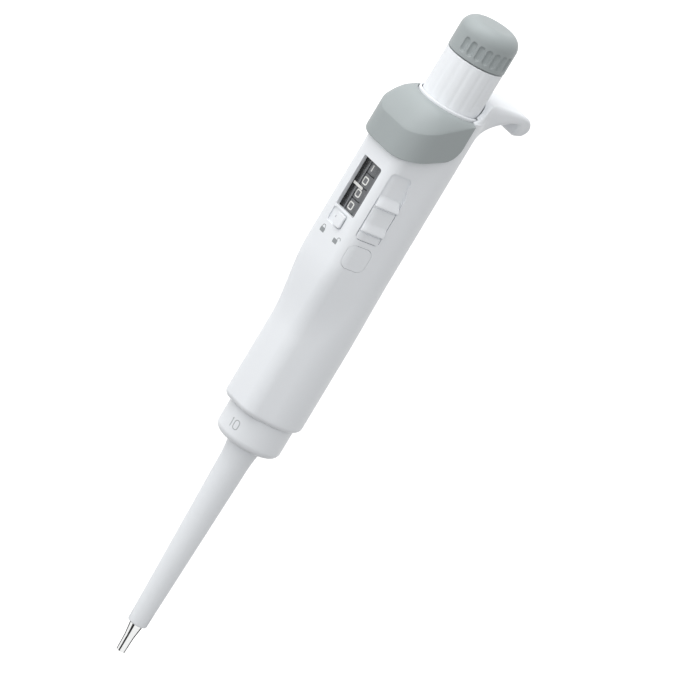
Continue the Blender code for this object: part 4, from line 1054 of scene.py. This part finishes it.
def ribbon(bm, line, width, closed):
    """A flat stroke of even width along (x, z) points, as thick as the ink."""
    rows = []
    for i, point in enumerate(line):
        before = Vector(line[i - 1] if closed or i else point)
        after = Vector(line[(i + 1) % len(line)] if closed or i < len(line) - 1 else point)
        aside = (after - before).normalized().orthogonal() * width / 2
        corners = [(Vector(point) + aside, 0), (Vector(point) - aside, 0)]
        corners += [(corners[1][0], -INK), (corners[0][0], -INK)]
        rows.append([bm.verts.new((at.x, y, at.y)) for at, y in corners])
    for first, second in zip(rows, rows[1:] + rows[:1] if closed else rows[1:]):
        for side in range(4):
            on = (side + 1) % 4
            bm.faces.new((first[side], first[on], second[on], second[side]))
    if not closed:
        bm.faces.new(rows[0])
        bm.faces.new(rows[-1])


def numeral(digit, width, height, stroke, corner=None):
    """A solid digit in the XZ plane, about the origin: squarish unless a larger corner is given."""
    corner = corner or 1.1 * stroke
    bm = bmesh.new()
    for line in DIGIT_LINES[digit]:
        placed = [(x * (width - stroke) / 2, z * (height - stroke) / 2, corner) for x, z in line]
        if digit == "1":
            placed = [(x, z, 0) for x, z, _ in placed]
        ribbon(bm, softened(placed, line is BOX), stroke, line is BOX)
    bmesh.ops.recalc_face_normals(bm, faces=bm.faces)
    return bm


def wrapped(bm, radius, angle, height, axis_y=0.0):
    """Slices a numeral into strips and wraps it on a cylinder, at an angle from the front."""
    reach = max(abs(v.co.x) for v in bm.verts)
    cuts = int(reach / STRIP)
    for cut in range(-cuts, cuts + 1):
        everything = list(bm.verts) + list(bm.edges) + list(bm.faces)
        bmesh.ops.bisect_plane(bm, geom=everything, plane_co=(cut * STRIP, 0, 0), plane_no=(1, 0, 0))
    for vert in bm.verts:
        at = angle + vert.co.x / radius
        out = radius - vert.co.y
        vert.co = (out * math.sin(at), axis_y - out * math.cos(at), height + vert.co.z)
    return bm


def gathered(parts):
    """Several shapes in one bmesh."""
    bm = bmesh.new()
    for part in parts:
        mesh = mesh_from(part, "part")
        bm.from_mesh(mesh)
        bpy.data.meshes.remove(mesh)
    return bm


# %% Volume mark on the ejector ring
MARK = mm(2.1, 3.3, 0.2, 0.85)
MARK_Z = 86.0 * MM
PRINT_LIFT = 0.005 * MM
marks = []
for digit, degrees in (("1", 4.5), ("0", 15.0)):
    marks.append(wrapped(numeral(digit, *MARK), RING_R + PRINT_LIFT, math.radians(degrees), MARK_Z))
finish_piece(gathered(marks), "range_numerals", grey_ink, "ejector")

# %% [markdown]
# ## The counter
# Four drums on one shaft show the volume, from tens at the top to hundredths at the
# bottom, and at rest they read ten. Each drum carries all ten digits round its rim, so the
# reading stays true when the drums turn. The digits run one way round, because the drums
# turn towards +X as the volume falls. Dark strips stand beside the drums, one thin grey
# strip among them a painted highlight line; black discs between the drums are painted shade
# in their gaps; and a short white bar marks the decimal point.

# %% Digit drums
DRUM_Y = -8.5 * MM
DRUM_R = 6.1 * MM
DRUM_Z = 166.4 * MM
DRUM_PITCH = 4.63 * MM
DRUM_H = 4.3 * MM
DRUM_BORE = 0.62 * MM
DRUM_WEB = 1.6 * MM
RIM_IN_R = 5.0 * MM
HUB_R = 1.6 * MM
DIGIT = mm(2.45, 2.65, 0.43)
GEAR_Z = 162.0 * MM
PINION_TEETH = 8
PINION_R = 8.5 * MM / 6
TOOTH_OUT = 0.2 * MM
TOOTH_IN = 0.36 * MM
DIGIT_TURN = math.radians(36)
DRUMS = [("hundredths", 0), ("tenths", 0), ("units", 0), ("tens", 1)]


def drum_form(middle):
    """A rim with soft edges, a thin web and a hub, about the drums' own axis."""
    half = DRUM_H / 2
    web = DRUM_WEB - half
    rows = [(DRUM_BORE, -half, 0), (DRUM_R, -half, 0.2 * MM), (DRUM_R, half, 0.2 * MM), (RIM_IN_R, half, 0)]
    rows += [(RIM_IN_R, web, 0), (HUB_R, web, 0), (HUB_R, half, 0), (DRUM_BORE, half, 0)]
    return moved(turned(softened(rows)), (0, DRUM_Y, middle))


def pinion_form(low, high):
    """The small gear under the lowest drum: a disc whose rim is pulled out into teeth."""
    bm = bmesh.new()
    bmesh.ops.create_circle(bm, cap_ends=True, radius=PINION_R, segments=PINION_TEETH * 8)
    for vert in bm.verts:
        phase = PINION_TEETH * (math.atan2(vert.co.y, vert.co.x) - math.pi / 2) + math.pi
        tooth = max(min(1.6 * math.cos(phase) - 0.35, 1.0), -1.0)
        vert.co *= 1 + (TOOTH_OUT if tooth > 0 else TOOTH_IN) * tooth / PINION_R
    return moved(extruded(bm, bm.faces[:], (0, 0, high - low)), (0, DRUM_Y, low))


for index, (body, shown) in enumerate(DRUMS):
    middle = DRUM_Z + DRUM_PITCH * index
    drum = drum_form(middle)
    if index == 0:
        drum = combined(drum, pinion_form(GEAR_Z, middle - 0.6 * DRUM_H / 2), "UNION")
        shaft_hole = turned(tube(0, DRUM_BORE, GEAR_Z - MM, middle + DRUM_H), 24, closed=False)
        drum = combined(drum, moved(shaft_hole, (0, DRUM_Y, 0)))
    finish_piece(drum, "drum_fine_" + body, drum_grey_and_highlight, body, "drum_" + body, "counter_black")
    digits = []
    for digit in range(10):
        angle = DIGIT_TURN * (digit - shown)
        digits.append(wrapped(numeral(str(digit), *DIGIT), DRUM_R - 0.01 * MM, angle, middle, DRUM_Y))
    finish_piece(gathered(digits), "digits_" + body, white_ink, body)

# %% Mask, decimal bar and window
LENS_Y = mm(-15.3, -14.9)
lens = block((WINDOW_X[0] + FIT, WINDOW_X[1] - FIT), LENS_Y, (WINDOW_Z[0] + FIT, WINDOW_Z[1] - FIT))
soften(lens, 0.2 * MM, 3, runs_deep)
finish_piece(lens, "window_lens", clear_window, "handle", "display_window", "window_clear")
MASK_BACK_Y = -14.65 * MM
# The thin grey strip between the black ones is a painted highlight line on the mask's edge.
MASKS = [
    ("counter_mask", black_mask_and_shade, -5.4, -2.72),
    ("counter_mask_line", drum_grey_and_highlight, -2.7, -2.62),
    ("counter_mask_step", black_mask_and_shade, -2.6, -2.35),
    ("counter_mask_left", drum_grey_and_highlight, -2.33, -1.6),
    ("counter_mask_right", drum_grey_and_highlight, 2.95, 6.0),
]
mask_y = (FRONT + WALL + 0.02 * MM, MASK_BACK_Y)
mask_z = (WINDOW_Z[0] - MM / 2, WINDOW_Z[1] + MM / 2)
for name, material, left, right in MASKS:
    finish_piece(block(mm(left, right), mask_y, mask_z), name, material, "handle")
# Black discs in the gaps between the drums are painted shade, so each gap reads dark.
GAP_SHADE_HALF = 0.1 * MM
for index in range(len(DRUMS) - 1):
    gap_z = DRUM_Z + DRUM_PITCH * (index + 0.5)
    shade_disc = turned(tube(MM, DRUM_R - 0.1 * MM, -GAP_SHADE_HALF, GAP_SHADE_HALF))
    finish_piece(moved(shade_disc, (0, DRUM_Y, gap_z)), "drum_washer_%d" % (index + 1), black_mask_and_shade, "handle")
BAR_X = mm(-3.9, 0.9)
BAR_Z = mm(172.6, 173.5)
bar = block(BAR_X, (LENS_Y[1] + 0.01 * MM, MASK_BACK_Y), BAR_Z)
soften(bar, 0.05 * MM, 2)
finish_piece(bar, "decimal_bar", white_ink, "handle")

# %% [markdown]
# ## Lock slide
# A small knob slides sideways in its track and stops the counter from turning. Its neck
# passes through the wall to a plate behind, which keeps it in. Two pictograms, a closed and
# an open padlock, say which way is which. They are printed, so they are very thin forms.

# %% Lock slide
LOCK_PROUD = 0.8 * MM
LOCK_PLATE_H = 2.6 * MM
LOCK_PLATE_T = 0.7 * MM
STEM_OVERLAP = 0.3 * MM
tall = LOCK_TRACK_H / 2 - FIT
floor = FRONT + LOCK_DEPTH - FIT
knob = block(around(lock_middle, LOCK_W / 2), (FRONT - LOCK_PROUD, floor), around(LOCK_Z, tall))
soften(knob, 0.8 * MM, 6, lambda e: runs_deep(e) and e.verts[0].co.z < LOCK_Z)
soften(knob, 0.3 * MM, 4)
behind = FRONT + WALL + 0.7 * MM
stem_y = (floor - STEM_OVERLAP, behind + STEM_OVERLAP)
stem = block(around(neck_x, LOCK_NECK[0] / 2), stem_y, around(LOCK_Z, LOCK_NECK[1] / 2))
plate_x = (-4.5 * MM, slot_x[1] + LOCK_TRAVEL + FIT)
plate = block(plate_x, (behind, behind + LOCK_PLATE_T), around(LOCK_Z, LOCK_PLATE_H / 2))
lock_bm = combined(combined(knob, stem, "UNION"), plate, "UNION")
finish_piece(lock_bm, "lock_knob", white_shell, "lock", "lock_slider", "shell_white")


# %% Padlock pictograms
def padlock(x, z, opened):
    """A printed padlock: a rounded body and a bent shackle, lying on the flat front."""
    half_body = 1.05 * MM
    body = block(around(x, half_body), around(FRONT, INK), (z - 1.5 * MM, z))
    soften(body, 0.2 * MM, 3, lambda e: abs(e.verts[0].co.y - e.verts[1].co.y) > INK)
    reach = 0.7 * MM
    thick = 0.1 * MM
    swing = 1.3 * MM if opened else 0.0
    shackle = bmesh.new()
    square = tube(reach - thick, reach + thick, -INK, INK)
    start = shackle.faces.new([shackle.verts.new((sx, sy, 0)) for sx, sy in square])
    bend = {"cent": (0, 0, 0), "axis": (0, -1, 0), "angle": math.pi, "steps": 16}
    bmesh.ops.spin(shackle, geom=[start], use_duplicate=False, **bend)
    moved(shackle, (x + swing, FRONT, z + 0.35 * MM))
    legs = []
    for side in (-1,) if opened else (-1, 1):
        leg_x = around(x + swing + side * reach, thick)
        legs.append(block(leg_x, around(FRONT, INK), (z - thick, z + 0.36 * MM)))
    return [body, shackle, *legs]


PADLOCK_X = 3.6 * MM
PADLOCK_Z = 155.6 * MM
marks = padlock(-PADLOCK_X, PADLOCK_Z, False) + padlock(PADLOCK_X, PADLOCK_Z, True)
finish_piece(gathered(marks), "lock_pictograms", grey_ink, "handle")

# %% [markdown]
# ## Adjustment slide and tag cover
# On the flank a cover plate with two saw-tooth ridges slides up when the thumb pushes it.
# The ridges are steep below and long above. Under it a small plate closes the place for a
# name tag. Both are outlines extruded across the flank, with softened edges.

# %% Adjustment slide
RIDGES = mm(163.0, 172.1)
RIDGE_FOOT = [(-0.8, 0), (-0.65, -0.1), (-0.5, -0.36), (-0.1, -0.38)]
RIDGE_FOOT += [(0, 0.3), (0.06, 0.7), (0.2, 0.87), (0.5, 0.89)]
RIDGE_SLOPES = (
    [(1.1, 0.74), (1.9, 0.44), (2.7, 0.18), (3.4, 0.03)],
    [(1.1, 0.68), (1.9, 0.24), (2.7, -0.22), (3.4, -0.56), (4.2, -0.66)],
)
low = TRACK_Z[0] + FIT
high = 175.9 * MM
under = TRACK_DEPTH - 0.08 * MM
face_stations = [(low - MM, 0.0)]
for z, slope in zip(RIDGES, RIDGE_SLOPES):
    face_stations += [(z + up * MM, proud * MM) for up, proud in RIDGE_FOOT + slope]
slide = flank_prism(track_outline(low, high, ADJUST_TRAVEL, FIT), -past, past)
soften(slide, 1.1 * MM, 6, across_flank)
ridged = bridged([handle_ring(z, -proud) for z, proud in face_stations])
slide = combined(on_flank(slide), ridged, "INTERSECT")
slide = combined(slide, sunk(under))


def on_side_rim(edge):
    """True for an edge between the slide's ridged face and its narrow sides."""
    mid = sum((v.co for v in edge.verts), Vector()) / 2
    along = (mid - flank_middle).dot(flank_along)
    return abs(abs(along) - half + FIT) < 0.01 * MM and off_flank(mid) > -0.3 * MM


soften(slide, 0.12 * MM, 3, on_side_rim, 1.0)
PEG_OVERLAP = 0.2 * MM
KEEPER_T = 0.7 * MM
peg = block((-WALL - FIT - PEG_OVERLAP, PEG_OVERLAP - under), around(0, PEG_W / 2), PEG_Z)
keeper = block((-WALL - FIT - KEEPER_T, -WALL - FIT), around(0, 1.3 * PEG_W), PEG_Z)
for joined in (peg, keeper):
    slide = combined(slide, on_flank(joined), "UNION")
finish_piece(slide, "adjuster_slide", white_shell, "adjuster", "volume_adjuster", "shell_white")

# %% Tag cover
TAG_GAP = 0.1 * MM
cover = block((-past, past), around(0, half - TAG_GAP), (TAG_Z[0] + TAG_GAP, TAG_Z[1] - TAG_GAP))
soften(cover, TAG_CORNER_R - TAG_GAP, 8, across_flank)
cover = combined(on_flank(cover), sunk(-0.05 * MM), "INTERSECT")
cover = combined(cover, sunk(TAG_DEPTH))
soften(cover, 0.06 * MM, 2, lambda e: all(off_flank(v.co) > 0 for v in e.verts))
finish_piece(cover, "tag_cover_fine", white_shell, "handle", "tag_cover", "shell_white")

# %% [markdown]
# ## The works inside
# The other solids are right as they are, since nobody sees them until a piece is taken off.
# They only need their finishes: steel, brass, acetal, nylon and rubber.

# %% Finishes of the inner solids
FINISHES = [
    (ground_steel, "drum_shaft pinion_shaft setting_spindle push_rod blowout_plate piston spring_seat"),
    (spring_wire, "return_spring blowout_spring ejector_spring cone_spring"),
    (turned_brass, "drive_gear spindle_nut"),
    (natural_acetal, "transfer_pinion_1 transfer_pinion_2 transfer_pinion_3 lower_body"),
    (natural_acetal, "ejector_carrier piston_seal seal_retainer"),
    (frame_nylon, "counter_frame"),
    (nitrile_rubber, "seal_o_ring"),
]
for material, names in FINISHES:
    for name in names.split():
        node = frame["nodes"][name]
        if not node.material_slots:
            node.data.materials.append(material)
        for holder in node.material_slots:
            holder.material = material
    print(material.name, "on", names)

# %% Springs
# Each coil shortens by the travel of the part that presses on it, away from its fixed end.
SPRINGS = {
    "return_spring": ("piston_stroke", 15.0 * MM, min),
    "blowout_spring": ("blowout_press", 6.2 * MM, min),
    "ejector_spring": ("eject_slide", 3.8 * MM, min),
    "cone_spring": ("cone_float", 3.0 * MM, max),
}
for name, (joint, travel, fixed_end) in SPRINGS.items():
    coil = frame["nodes"][name]
    heights = [vert.co.z for vert in coil.data.vertices]
    length = max(heights) - min(heights)
    share = 1 - (travel + 0.02 * MM) / length
    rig.squash(coil, joint, axis=(0, 0, 1), anchor=(0, 0, fixed_end(heights)), keep=share)
    print(name, "keeps", round(share, 3), "of", round(length / MM, 1), "mm")

# %% [markdown]
# ## Floor, light and background
# The ground is plain white. A pale floor lies just below the nozzle, and it adds a little
# light of its own only for the camera and for reflections, so it reads as white and still
# shows a soft shadow. The world is an even soft light. A large lamp above and to the left
# shapes the round forms, one overhead lights the roof and the cap, and one beside the camera
# fills the flank. Dark screens that only mirrored rays meet put the streaks into the steel.

# %% Floor
FLOOR_Z = -20 * MM
FLOOR_HALF = 3.0


def seen_directly(tree):
    """1 for rays from the camera, from a mirror or through a clear piece, otherwise 0."""
    path = add_node(tree, "ShaderNodeLightPath").outputs
    links = {0: path["Is Camera Ray"], 1: path["Is Glossy Ray"]}
    seen = add_node(tree, "ShaderNodeMath", links=links, operation="MAXIMUM")
    links = {0: seen.outputs[0], 1: path["Is Transmission Ray"]}
    return add_node(tree, "ShaderNodeMath", links=links, operation="MAXIMUM").outputs[0]


floor_bm = bmesh.new()
bmesh.ops.create_grid(floor_bm, x_segments=1, y_segments=1, size=FLOOR_HALF)
studio_floor = in_scene("studio_floor", mesh_from(moved(floor_bm, (0, 0, FLOOR_Z)), "studio_floor"))
grey = {"Base Color": linear("#8A8A8A"), "Roughness": 0.9, "Emission Color": (1, 1, 1, 1)}
floor_paint, tree, shader, _ = start_material("matt white studio floor", grey)
tree.links.new(seen_directly(tree), shader.inputs["Emission Strength"])
studio_floor.data.materials.append(floor_paint)
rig.stage(studio_floor)

# %% World and lamps
WORLD_LIGHT = 0.76
world = bpy.data.worlds.new("soft studio")
world.use_nodes = True
bpy.context.scene.world = world
tree = world.node_tree
tree.nodes.clear()
limits = {"To Min": WORLD_LIGHT, "To Max": 1.0}
glow = add_node(tree, "ShaderNodeMapRange", limits, {"Value": seen_directly(tree)})
sky = add_node(tree, "ShaderNodeBackground", {"Color": (1, 1, 1, 1)}, {"Strength": glow.outputs["Result"]})
add_node(tree, "ShaderNodeOutputWorld", links={"Surface": sky.outputs["Background"]})


def soft_lamp(name, place, watts):
    """A square lamp that faces the middle of the pipette."""
    lamp = bpy.data.lights.new(name, "AREA")
    lamp.shape = "SQUARE"
    lamp.size = LAMP_SIZE
    lamp.energy = watts
    made = in_scene(name, lamp)
    made.location = place
    made.rotation_euler = (aim - place).to_track_quat("-Z", "Y").to_euler()


def flag(name, start, end):
    """A dark screen for mirrored rays only, bent round the nozzle between two bearings."""
    rows = []
    bm = bmesh.new()
    for step in range(FLAG_STEPS + 1):
        bearing = math.radians(start + (end - start) * step / FLAG_STEPS)
        x, y = FLAG_R * math.sin(bearing), -FLAG_R * math.cos(bearing)
        rows.append([bm.verts.new((x, y, z)) for z in FLAG_Z])
    for first, second in zip(rows, rows[1:]):
        bm.faces.new((first[0], second[0], second[1], first[1]))
    made = in_scene(name, mesh_from(bm, name))
    made.data.materials.append(black_mask_and_shade)
    made.visible_camera = False
    made.visible_diffuse = False
    made.visible_transmission = False
    made.visible_shadow = False
    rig.stage(made)


FLAG_STEPS = 12
FLAG_R = 38 * MM
FLAG_Z = mm(-19.5, 3)
flag("flag_behind_left", -140, -70)
flag("flag_front", -12, 30)
flag("flag_behind_right", 150, 215)

LAMP_SIZE = 0.9
key_place = aim + away * 0.35 - camera_right * 0.55 + camera_up * 0.85
soft_lamp("key_lamp", key_place, 3.7)
soft_lamp("top_lamp", aim + Vector((0, 0, 1.1)) - camera_right * 0.35, 5.0)
soft_lamp("fill_lamp", aim + away * 1.0 - camera_right * 0.25, 2.5)
bpy.context.scene.view_settings.view_transform = "Standard"
print("world", WORLD_LIGHT, "- key lamp at", [round(v, 2) for v in key_place])

# %% Sizes, written to extents.json
visual_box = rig.bounds()
with open("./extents.json", "w") as sizes:
    json.dump({"cad": [list(corner) for corner in cad_box], "visual": [list(corner) for corner in visual_box]}, sizes)
print("CAD box", [[round(v * 1000, 2) for v in corner] for corner in cad_box])
print("visual box", [[round(v * 1000, 2) for v in corner] for corner in visual_box])
